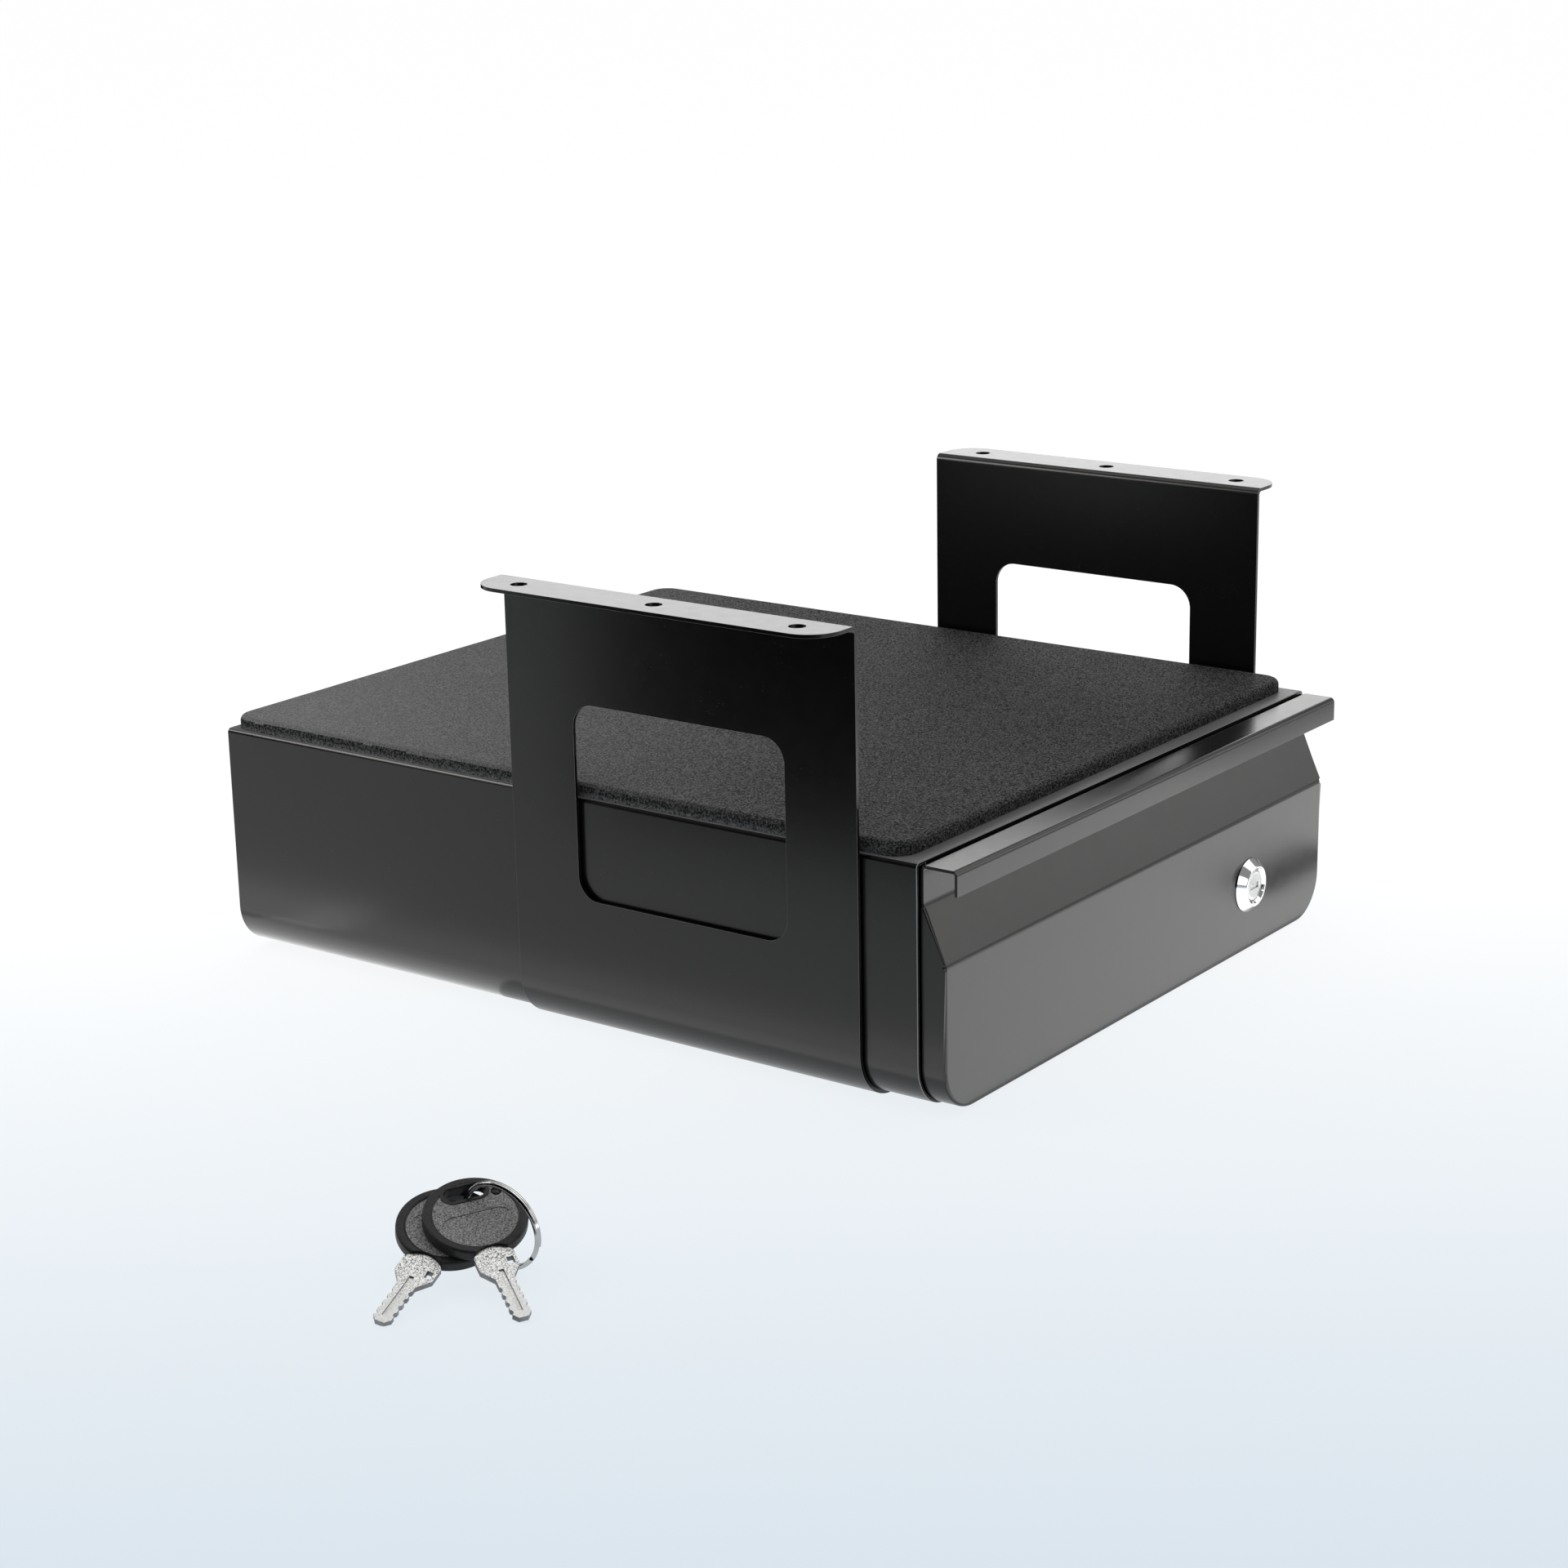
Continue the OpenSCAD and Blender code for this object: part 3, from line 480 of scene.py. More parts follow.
def outline(points: Sequence[Sequence[float]], radii: Sequence[float], segments: int = 10,
            closed: bool = True) -> BMesh:
    """Makes a flat face or an open line with rounded corners.

    Args:
        points: The corners, in order.
        radii: The radius of each corner, 0 for a sharp one.
        segments: Segments in each rounded corner.
        closed: True for a face, False for an open line.

    Returns:
        A bmesh that holds the outline.
    """
    bm = bmesh.new()
    verts = [bm.verts.new(p) for p in points]
    if closed:
        bm.faces.new(verts)
    else:
        for pair in zip(verts, verts[1:]):
            bm.edges.new(pair)
    places = [Vector(p) for p in points]
    for i, radius in enumerate(radii):
        if radius > 0:
            before = (places[i] - places[i - 1]).normalized()
            after = (places[(i + 1) % len(places)] - places[i]).normalized()
            reach = radius * math.tan(before.angle(after) / 2)
            rounded(bm, [verts[i]], reach, segments, "VERTICES")
    return bm


def swept(bm: BMesh, move: Sequence[float]) -> BMesh:
    """Draws out the face of an outline, or every edge of an open line.

    Args:
        bm: The outline or line.
        move: How far and where to it is drawn.

    Returns:
        The same bmesh, closed if it was a face.
    """
    if bm.faces:
        made = bmesh.ops.extrude_face_region(bm, geom=bm.faces[:])["geom"]
        verts = [g for g in made if isinstance(g, BMVert)]
    else:
        verts = drawn_out(bm, bm.edges[:])[0]
    bmesh.ops.translate(bm, verts=verts, vec=move)
    return faced(bm)


def slab(low: Sequence[float], high: Sequence[float], axis: int, radii: Sequence[float],
         segments: int = 10) -> BMesh:
    """Makes a box whose outline, seen along one axis, has rounded corners.

    Args:
        low: One corner.
        high: The opposite corner.
        axis: The axis, 0 for x, 1 for y or 2 for z.
        radii: The radius of each corner, from the low one round.
        segments: Segments in each rounded corner.

    Returns:
        The closed bmesh.
    """
    across, up = [i for i in range(3) if i != axis]
    points = []
    for right, top in ((False, False), (True, False), (True, True), (False, True)):
        point = list(low)
        point[across], point[up] = (high if right else low)[across], (high if top else low)[up]
        points.append(point)
    return swept(outline(points, radii, segments),
                 [high[i] - low[i] if i == axis else 0.0 for i in range(3)])


def block(low: Sequence[float], high: Sequence[float]) -> BMesh:
    """Makes a box.

    Args:
        low: One corner.
        high: The opposite corner.

    Returns:
        The closed bmesh.
    """
    bm = bmesh.new()
    bmesh.ops.create_cube(bm, size=1.0)
    low_v, high_v = Vector(low), Vector(high)
    bmesh.ops.scale(bm, verts=bm.verts[:], vec=high_v - low_v)
    return moved(bm, (low_v + high_v) / 2)


def rod(base: Sequence[float], tip: Sequence[float], radius: float, segments: int = 48) -> BMesh:
    """Makes a cylinder.

    Args:
        base: The middle of one end.
        tip: The middle of the other end.
        radius: Its radius.
        segments: Sides round it.

    Returns:
        The closed bmesh.
    """
    bm = bmesh.new()
    start, end = Vector(base), Vector(tip)
    along = end - start
    bmesh.ops.create_cone(bm, cap_ends=True, segments=segments, radius1=radius, radius2=radius,
                          depth=along.length)
    turn = Vector((0, 0, 1)).rotation_difference(along).to_matrix()
    bmesh.ops.rotate(bm, verts=bm.verts[:], cent=(0, 0, 0), matrix=turn)
    return moved(bm, (start + end) / 2)


def lathe(profile: Sequence[tuple[float, float]], steps: int = 96, closed: bool = False) -> BMesh:
    """Spins a profile round the z axis.

    Args:
        profile: Points of radius and height, in order.
        steps: Steps in the full turn.
        closed: True if the profile is a closed ring.

    Returns:
        The spun bmesh.
    """
    bm = bmesh.new()
    verts = [bm.verts.new((r, 0, z)) for r, z in profile]
    pairs = list(zip(verts, verts[1:])) + ([(verts[-1], verts[0])] if closed else [])
    edges = [bm.edges.new(pair) for pair in pairs]
    bmesh.ops.spin(bm, geom=verts + edges, cent=(0, 0, 0), axis=(0, 0, 1), angle=math.tau,
                   steps=steps, use_merge=True)
    bmesh.ops.remove_doubles(bm, verts=bm.verts[:], dist=SAME)
    return faced(bm)


def joined(parts: Iterable[BMesh]) -> BMesh:
    """Puts several bmeshes into one.

    Args:
        parts: The bmeshes, which are freed.

    Returns:
        The one bmesh.
    """
    whole = bmesh.new()
    for part in parts:
        mesh = bpy.data.meshes.new("part")
        part.to_mesh(mesh)
        part.free()
        whole.from_mesh(mesh)
        bpy.data.meshes.remove(mesh)
    return whole


def upright_edges(bm: BMesh, near: Vector, reach: float) -> list[BMEdge]:
    """Finds the upright edges near a point.

    Args:
        bm: The bmesh they are in.
        near: The point.
        reach: How far from it their middles may lie.

    Returns:
        The edges.
    """
    found = []
    for edge in bm.edges:
        first, second = (v.co for v in edge.verts)
        run = second - first
        upright = run.length > 0 and abs(run.normalized().z) > 0.999
        if upright and ((first + second) / 2 - near).length < reach:
            found.append(edge)
    return found


def modify(thing: bpy.types.Object, name: str, kind: str, **settings: object) -> None:
    """Adds a modifier.

    Args:
        thing: The object that gets it.
        name: The modifier's name.
        kind: Its type.
        settings: Its own settings.
    """
    modifier = thing.modifiers.new(name, kind)
    for setting, value in settings.items():
        setattr(modifier, setting, value)


class Piece:
    """A piece of the object while it is being finished."""

    def __init__(self, name: str, bm: BMesh) -> None:
        """Turns a bmesh in millimetres into an object in the row frame.

        Args:
            name: The piece's name.
            bm: Its mesh, which is freed.
        """
        bmesh.ops.scale(bm, verts=bm.verts[:], vec=(MM, MM, MM))
        mesh = bpy.data.meshes.new(name)
        moved(bm, ORIGIN).to_mesh(mesh)
        bm.free()
        self.object = bpy.data.objects.new(name, mesh)
        bpy.context.scene.collection.objects.link(self.object)

    def taken_back(self) -> BMesh:
        """Turns the piece into a bmesh again, and removes the piece.

        Returns:
            The bmesh in millimetres.
        """
        bm = bmesh.new()
        mesh = self.object.data
        bm.from_mesh(mesh)
        bpy.data.objects.remove(self.object)
        bpy.data.meshes.remove(mesh)
        moved(bm, -ORIGIN)
        bmesh.ops.scale(bm, verts=bm.verts[:], vec=(1 / MM, 1 / MM, 1 / MM))
        return bm

    def apply(self) -> "Piece":
        """Applies every modifier to the mesh.

        Returns:
            The piece.
        """
        depsgraph = bpy.context.evaluated_depsgraph_get()
        done = bpy.data.meshes.new_from_object(self.object.evaluated_get(depsgraph), depsgraph=depsgraph)
        old = self.object.data
        self.object.modifiers.clear()
        self.object.data = done
        bpy.data.meshes.remove(old)
        done.name = self.object.name
        return self

    def walls(self, thickness: float) -> "Piece":
        """Gives an open surface its wall, built against its normals.

        Args:
            thickness: The wall's thickness in millimetres.

        Returns:
            The piece.
        """
        modify(self.object, "walls", "SOLIDIFY", thickness=thickness * MM, offset=-1.0, use_even_offset=True,
               use_quality_normals=True)
        return self.apply()

    def cut(self, cutters: Iterable[BMesh]) -> "Piece":
        """Cuts shapes out of the piece.

        Args:
            cutters: Closed bmeshes in millimetres, which are freed.

        Returns:
            The piece.
        """
        tools = [Piece("cutter", cutter).object for cutter in cutters]
        for tool in tools:
            modify(self.object, "cut", "BOOLEAN", operation="DIFFERENCE", solver="EXACT", object=tool)
        self.apply()
        for tool in tools:
            bpy.data.objects.remove(tool)
        return self

    def eased(self, width: float, segments: int = 2, degrees: float = 32.0, material: int = -1) -> "Piece":
        """Rounds every edge that is sharper than a limit.

        Args:
            width: Width of the rounding in millimetres.
            segments: Segments across it.
            degrees: Edges that turn by less stay as they are.
            material: Index of the rounding's own material, -1 for that of the faces beside it.

        Returns:
            The piece.
        """
        while len(self.object.data.materials) <= material:
            self.object.data.materials.append(None)
        modify(self.object, "ease", "BEVEL", material=material, width=width * MM, segments=segments,
               limit_method="ANGLE", angle_limit=math.radians(degrees), harden_normals=False,
               use_clamp_overlap=True)
        return self.apply()

    def finish(self, body: Body, slot: Slot, *materials: bpy.types.Material, smooth: float = 34.0,
               stands_for: str) -> bpy.types.Object:
        """Dresses the piece and ties it to its body.

        Args:
            body: The body it rides on.
            slot: The record's material slot; not used.
            materials: Its materials, the first for all faces unless their index says otherwise.
            smooth: Edges that turn by more degrees stay sharp.
            stands_for: The CAD node that it replaces.

        Returns:
            The finished object.
        """
        mesh = self.object.data
        for i, material in enumerate(materials):
            if i < len(mesh.materials):
                mesh.materials[i] = material
            else:
                mesh.materials.append(material)
        mesh.shade_smooth()
        mesh.set_sharp_from_angle(angle=math.radians(smooth))
        modify(self.object, "even_normals", "WEIGHTED_NORMAL", keep_sharp=True)
        self.apply()
        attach(self.object, body.value)
        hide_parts(stands_for)
        LOG.info("%s: %d faces", self.object.name, len(self.object.data.polygons))
        return self.object


@dataclass
class Housing:
    """The folded housing. Sizes are in millimetres."""

    sheet: float = 1.2
    lower_radius: float = 19.2
    fold_radius: float = 2.0
    least_radius: float = 0.3
    return_height: float = 8.0
    upstand_height: float = 11.0
    rim: float = 10.0
    strip_depth: float = 0.3
    ease: float = 0.28
    size: Vector = field(default_factory=lambda: span("housing_shell")[1])

    def section(self, inset: float, y: float, depth: float) -> BMesh:
        """Makes a solid with the housing's outline.

        Args:
            inset: How far the outline is drawn in.
            y: Where the solid starts.
            depth: How deep it is.

        Returns:
            The closed bmesh.
        """
        half, top = self.size.x - inset, self.size.z - inset
        low, high = self.lower_radius - inset, max(self.fold_radius - inset, self.least_radius)
        return slab((-half, y, inset), (half, y + depth, top), 1, [low, low, high, high], 14)

    def build(self, finishes: Finishes) -> None:
        """Builds the folded shell with its front return, upstand and rear rim.

        Args:
            finishes: The object's materials.
        """
        half, depth, top = self.size
        t = self.sheet
        tube = self.section(0.0, 0.0, depth)
        ends = [f for f in tube.faces if abs(f.normal.y) > 0.9]
        bmesh.ops.delete(tube, geom=ends, context="FACES_ONLY")
        shell = Piece("housing", tube).walls(t)
        reach = half - 3 * self.fold_radius
        front_return = block((-reach, 0, top - self.return_height), (reach, t, top - t / 2))
        floor_reach = half - self.lower_radius
        upstand = block((-floor_reach, 0, t / 2), (floor_reach, t, self.upstand_height))
        opening = self.section(t + self.rim, depth - 4 * t, 8 * t)
        rim = Piece("rim", self.section(t / 2, depth - t, t)).cut([opening])
        whole = joined([shell.taken_back(), front_return, upstand, rim.taken_back()])
        # The eased edges take the lighter edge coat, a painted highlight.
        folded = Piece("housing_folded_shell", whole).eased(self.ease, material=2)
        # The top faces beside the mat take the lighter coat, which is painted light.
        shelf_level = ORIGIN.z + (top - self.strip_depth) * MM
        for face in folded.object.data.polygons:
            if face.normal.z > 0.5 and face.center.z > shelf_level:
                face.material_index = 1
        folded.finish(Body.HOUSING, Slot.COAT, finishes.coat, finishes.top_coat_painted_light, finishes.edge_highlight_coat,
                      stands_for="housing_shell")


@dataclass
class ShelfMat:
    """The foam mat on the housing's top. Sizes are in millimetres."""

    corner: float = 10.0
    edge: float = 2.4
    strips: tuple[int, int] = (60, 72)
    layers: tuple[float, float] = (1.4, 2.8)
    trim: float = 0.02
    sag: float = 0.05
    box: tuple[Vector, Vector] = field(default_factory=lambda: span("shelf_mat"))

    def uneven(self, place: Vector) -> Vector:
        """Gives the cut sides and the top their slight unevenness.

        Args:
            place: A point of the smooth mat.

        Returns:
            Where that point comes to lie.
        """
        low, high = self.box
        middle = (low + high) / 2
        level = (place.z - low.z) / (high.z - low.z)
        rough = noise.noise(place * 0.22) * 0.09 + noise.noise(place * 0.9) * 0.05
        outward = Vector((place.x - middle.x, place.y - middle.y, 0)).normalized()
        cut_side = place - outward * (self.trim + rough) * min(1.0, 4 * (1 - abs(2 * level - 1)))
        return cut_side - Vector((0, 0, self.sag + self.sag * noise.noise(cut_side * 0.05)))

    def build(self, finishes: Finishes) -> None:
        """Builds the mat with its soft upper edge and slightly uneven cut sides.

        Args:
            finishes: The object's materials.
        """
        low, high = self.box
        bm = slab(low, high, 2, [self.corner] * 4, 8)
        rim = [e for e in bm.edges if all(abs(v.co.z - high.z) < NEAR for v in e.verts)]
        rounded(bm, rim, self.edge, 6)
        for axis, count in zip(((1, 0, 0), (0, 1, 0)), self.strips):
            start, end = Vector(axis).dot(low), Vector(axis).dot(high)
            for i in range(1, count):
                split(bm, Vector(axis) * (start + (end - start) * i / count), axis)
        for height in self.layers:
            split(bm, (0, 0, low.z + height), (0, 0, 1))
        for vert in bm.verts:
            if vert.co.z >= low.z + 0.01:
                vert.co = self.uneven(vert.co)
        for face in faced(bm).faces:
            face.material_index = 1 if abs(face.normal.z) < 0.4 else 0
        mat = Piece("foam_shelf_mat", bm).finish(Body.HOUSING, Slot.FELT, finishes.felt, finishes.felt_side,
                                                 smooth=60.0, stands_for="shelf_mat")


@dataclass
class Bracket:
    """One J-shaped bracket. Sizes are in millimetres."""

    side: int
    sheet: float = 1.5
    bend_radius: float = 21.7
    fold_radius: float = 1.5
    flange_corner: float = 14.0
    foot_corner: float = 8.0
    hole_radius: float = 3.4
    hole_end: float = 17.8
    window: tuple[float, float] = (103.6, 81.4)
    window_low: float = 58.2
    window_corner: float = 10.0
    screw_radius: float = 2.03
    screw_end: float = 20.0
    flange_width: float = 22.2
    spare: float = 3.0
    ease: float = 0.5

    def build(self, finishes: Finishes) -> None:
        """Builds the bracket from its bent strip.

        Args:
            finishes: The object's materials.
        """
        name = "bracket_left" if self.side < 0 else "bracket_right"
        low, high = span(name)
        tip, foot = (high.x, low.x) if self.side > 0 else (-low.x, -high.x)
        plate, under = tip - self.flange_width, high.z - self.sheet
        points = [(foot, low.y, low.z), (plate, low.y, low.z), (plate, low.y, under), (tip, low.y, under)]
        strip = outline(points, [0, self.bend_radius, self.fold_radius, 0], 12, closed=False)
        swept(strip, (0, high.y - low.y, 0))
        if max(strip.faces, key=BMFace.calc_area).normal.x < 0:
            bmesh.ops.reverse_faces(strip, faces=strip.faces[:])
        bm = Piece(name + "_bent_sheet", strip).walls(self.sheet).taken_back()
        for x, radius, level in ((tip, self.flange_corner, high.z), (foot, self.foot_corner, low.z)):
            corners = [edge for y in (low.y, high.y)
                       for edge in upright_edges(bm, Vector((x, y, level)), 2 * self.sheet)]
            rounded(bm, corners, radius, 12)
        length, height = self.window
        middle, sill = (low.y + high.y) / 2, self.window_low
        cutters = [slab((plate - 3 * self.sheet, middle - length / 2, sill),
                        (plate + 2 * self.sheet, middle + length / 2, sill + height),
                        0, [self.window_corner] * 4, 12)]
        hole_x, screw_x = plate + self.flange_width / 2, (plate - self.bend_radius + foot) / 2
        for x, end, bottom, top, radius, segments in (
            (hole_x, self.hole_end, under, high.z, self.hole_radius, 48),
            (screw_x, self.screw_end, low.z, low.z + self.sheet, self.screw_radius, 24),
        ):
            for y in (low.y + end, middle, high.y - end):
                cutters.append(rod((x, y, bottom - self.spare), (x, y, top + self.spare), radius, segments))
        # The eased edges take the lighter edge coat, a painted highlight.
        piece = Piece(name + "_bent_sheet", bm).cut(cutters).eased(self.ease, 3, material=1)
        if self.side < 0:
            piece.object.data.transform(Matrix.Scale(-1, 4, (1, 0, 0)))
            piece.object.data.flip_normals()
        piece.finish(Body.HOUSING, Slot.COAT, finishes.coat, finishes.edge_highlight_coat, stands_for=name)


@dataclass
class DrawerFront:
    """The pressed front with its pull. Sizes are in millimetres."""

    sheet: float = 1.2
    lower_radius: float = 19.2
    seam: float = 0.5
    knee: float = 60.3
    shoulder: float = 83.7
    knee_round: float = 1.2
    knee_steps: int = 4
    face_bend: float = 1.4
    face_depth: float = 11.2
    fold: float = 2.2
    fold_steps: int = 6
    drop: float = 10.0
    lock_hole: float = 9.15
    stud_length: float = 7.0
    stud_radius: float = 2.0
    nut_half: float = 3.5
    nut_reach: float = 4.04
    ease: float = 0.4
    box: tuple[Vector, Vector] = field(default_factory=lambda: span("drawer_front"))

    def depth_at(self, z: float) -> float:
        """Works out how far the outer face stands before the housing's front edge.

        Args:
            z: The height.

        Returns:
            The distance.
        """
        neck = self.seam + self.sheet
        slope = (self.face_depth - neck) / (self.shoulder - self.knee)
        depth = max(neck, min(self.face_depth, self.face_depth - slope * (z - self.knee)))
        for centre, sign in ((self.knee, -1.0), (self.shoulder, 1.0)):
            away = abs(z - centre)
            if away < self.knee_round:
                depth += sign * slope * (self.knee_round - away) ** 2 / (4 * self.knee_round)
        return depth

    def pull_path(self) -> list[tuple[float, float]]:
        """Works out the pull's inner side, from the neck to the turned-down edge.

        Returns:
            Its points of y and z.
        """
        top, reach = self.box[1].z, self.box[0].y
        inner = self.fold - self.sheet
        bends = []
        for centre_y, start in ((-self.seam - self.fold, 0.0), (reach + self.fold, 90.0)):
            for i in range(self.fold_steps + 1):
                turn = math.radians(start + 90.0 * i / self.fold_steps)
                bends.append((centre_y + inner * math.cos(turn), top - self.fold + inner * math.sin(turn)))
        return [*bends, (reach + self.sheet, top - self.drop)]

    def build_surface(self) -> BMesh:
        """Builds the pressed sheet's front surface, from the returns to the pull's edge.

        Returns:
            The open bmesh.
        """
        half, top = self.box[1].x, self.box[1].z - self.fold
        points = [(-half, 0, 0), (half, 0, 0), (half, 0, top), (-half, 0, top)]
        bm = outline(points, [self.lower_radius, self.lower_radius, 0, 0], 16)
        for centre in (self.knee, self.shoulder):
            for i in range(-self.knee_steps, self.knee_steps + 1):
                split(bm, (0, 0, centre + self.knee_round * (i / self.knee_steps)), (0, 0, 1))
        for vert in bm.verts:
            vert.co.y = -self.depth_at(vert.co.z)
        side = [e for e in bm.edges if e.is_boundary and not all(abs(v.co.z - top) < LEVEL for v in e.verts)]
        for vert in drawn_out(bm, side)[0]:
            vert.co.y = -self.seam
        bend_end = self.shoulder - self.knee_round + 0.01
        corner = [e for e in side if len(e.link_faces) == 2 and max(v.co.z for v in e.verts) < bend_end]
        rounded(bm, corner, self.face_bend, 4, clamp=True)
        upper = [e for e in bm.edges if all(abs(v.co.z - top) < LEVEL for v in e.verts)]
        for y, z in self.pull_path()[1:]:
            upper = [e for e in upper if e.is_boundary and abs(e.verts[0].co.x - e.verts[1].co.x) > half]
            verts, upper = drawn_out(bm, upper)
            for vert in verts:
                vert.co.y, vert.co.z = y, z
        if max(faced(bm).faces, key=BMFace.calc_area).normal.y > 0:
            bmesh.ops.reverse_faces(bm, faces=bm.faces[:])
        return bm

    def build(self, finishes: Finishes) -> None:
        """Builds the front with its pull and weld studs as one pressed piece.

        Args:
            finishes: The object's materials.
        """
        low, high = span("lock_body")
        x, z = (low.x + high.x) / 2, (low.z + high.z) / 2
        hole = rod((x, -3 * self.face_depth, z), (x, self.face_depth, z), self.lock_hole)
        pan = Piece("pan", self.build_surface()).walls(self.sheet).cut([hole]).taken_back()
        low, high = span("front_nuts")
        inner = self.sheet / 2 - self.face_depth
        studs = [rod((x, inner, z), (x, inner + self.stud_length, z), self.stud_radius, 24)
                 for x in (low.x + self.nut_half, high.x - self.nut_half)
                 for z in (low.z + self.nut_reach, high.z - self.nut_reach)]
        # The eased edges take the lighter edge coat, a painted highlight.
        piece = Piece("pressed_drawer_front", joined([pan, *studs])).eased(self.ease, material=1)
        piece.finish(Body.DRAWER, Slot.COAT, finishes.coat, finishes.edge_highlight_coat, stands_for="drawer_front")


@dataclass
class CamLock:
    """The lock's bezel, barrel and plug. Sizes are in millimetres, and heights start at the panel's face."""

    base: float = 11.8
    face: float = 8.7
    height: float = 3.9
    bore: float = 6.55
    barrel: float = 9.0
    flat: float = 8.0
    thread_pitch: float = 1.0
    thread_depth: float = 0.45
    neck: float = 0.9
    recess: float = 1.0
    plug: float = 6.5
    tail: float = 3.5
    keyway: tuple[float, float] = (7.1, 2.6)
    keyway_notch: tuple[float, float] = (0.8, 0.6)
    keyway_round: float = 0.3
    shutter_depth: float = 0.6
    spare: float = 4.0
    box: tuple[Vector, Vector] = field(default_factory=lambda: span("lock_body"))
    core: tuple[Vector, Vector] = field(default_factory=lambda: span("lock_plug"))

    def placed(self, bm: BMesh) -> BMesh:
        """Turns a bmesh to point out of the front, and puts it at the lock.

        Args:
            bm: The bmesh, with its axis along z.

        Returns:
            The same bmesh.
        """
        low, high = self.box
        turn = Matrix.Rotation(math.radians(90), 3, "X")
        bmesh.ops.rotate(bm, verts=bm.verts[:], cent=(0, 0, 0), matrix=turn)
        return moved(bm, ((low.x + high.x) / 2, low.y + self.height, (low.z + high.z) / 2))

    def build_body(self, finishes: Finishes) -> None:
        """Builds the conical bezel with its rolled rim and the threaded barrel.

        Args:
            finishes: The object's materials.
        """
        depth = self.box[1].y - self.box[0].y - self.height
        base, face, height, lip = self.base, self.face, self.height, self.bore + self.recess
        profile = [(self.bore, -depth), (self.barrel - 0.5, -depth), (self.barrel, -depth + 0.5)]
        for i in range(int((depth - 2) / self.thread_pitch)):
            z = -depth + 0.6 + i * self.thread_pitch
            profile += [(self.barrel, z + 0.1), (self.barrel - self.thread_depth, z + 0.5)]
        profile += [(self.barrel, -self.neck), (self.barrel, 0.0), (base - 0.15, 0.0), (base, 0.15),
                    (base, 0.42), (base - 0.12, 0.6), (face + 0.28, height - 0.42),
                    (face + 0.1, height - 0.16), (face - 0.2, height - 0.02), (face - 0.35, height),
                    (lip + 0.2, height), (lip + 0.05, height - 0.05), (lip - 0.05, height - 0.2),
                    (self.bore + 0.08, height - self.recess - 0.1), (self.bore, height - self.recess - 0.25)]
        flats = []
        for side in (-1, 1):
            low_x, high_x = sorted((side * self.flat, side * (self.flat + self.spare)))
            flats.append(self.placed(block((low_x, -base, -depth - 1), (high_x, base, -0.02))))
        piece = Piece("cam_lock_bezel", self.placed(lathe(profile, 128, closed=True))).cut(flats)
        piece.finish(Body.DRAWER, Slot.CHROME, finishes.chrome, smooth=30.0, stands_for="lock_body")

    def build_plug(self, finishes: Finishes) -> None:
        """Builds the plug with its level keyway, closed by a dust shutter, and its square tail.

        Args:
            finishes: The object's materials.
        """
        depth = self.core[1].y - self.core[0].y
        top = self.height - self.recess
        end = -(self.box[1].y - self.box[0].y - self.height)
        plug, tail = self.plug, self.tail
        profile = [(0.001, top - 0.12), (plug - 1.5, top - 0.02), (plug - 0.5, top), (plug - 0.2, top - 0.1),
                   (plug, top - 0.35), (plug, end), (0.001, end)]
        tail_block = block((-tail, -tail, top - depth), (tail, tail, end + 0.5))
        shutter, bend = top - self.shutter_depth, self.keyway_round
        wide, tall = (size / 2 for size in self.keyway)
        notch, drop = self.keyway_notch
        corners = [(-wide, -tall), (wide, -tall), (wide, tall), (notch, tall), (notch, tall - drop),
                   (-notch, tall - drop), (-notch, tall), (-wide, tall)]
        keyway = outline([(x, y, shutter) for x, y in corners], [bend] * 3 + [0] * 4 + [bend], 4)
        swept(keyway, (0, 0, self.height + self.spare))
        piece = Piece("lock_plug_core", self.placed(joined([lathe(profile), tail_block])))
        piece.cut([self.placed(keyway)]).eased(0.1, 2, 40.0).finish(
            Body.LOCK_CORE, Slot.BRASS, finishes.plug, smooth=30.0, stands_for="lock_plug")


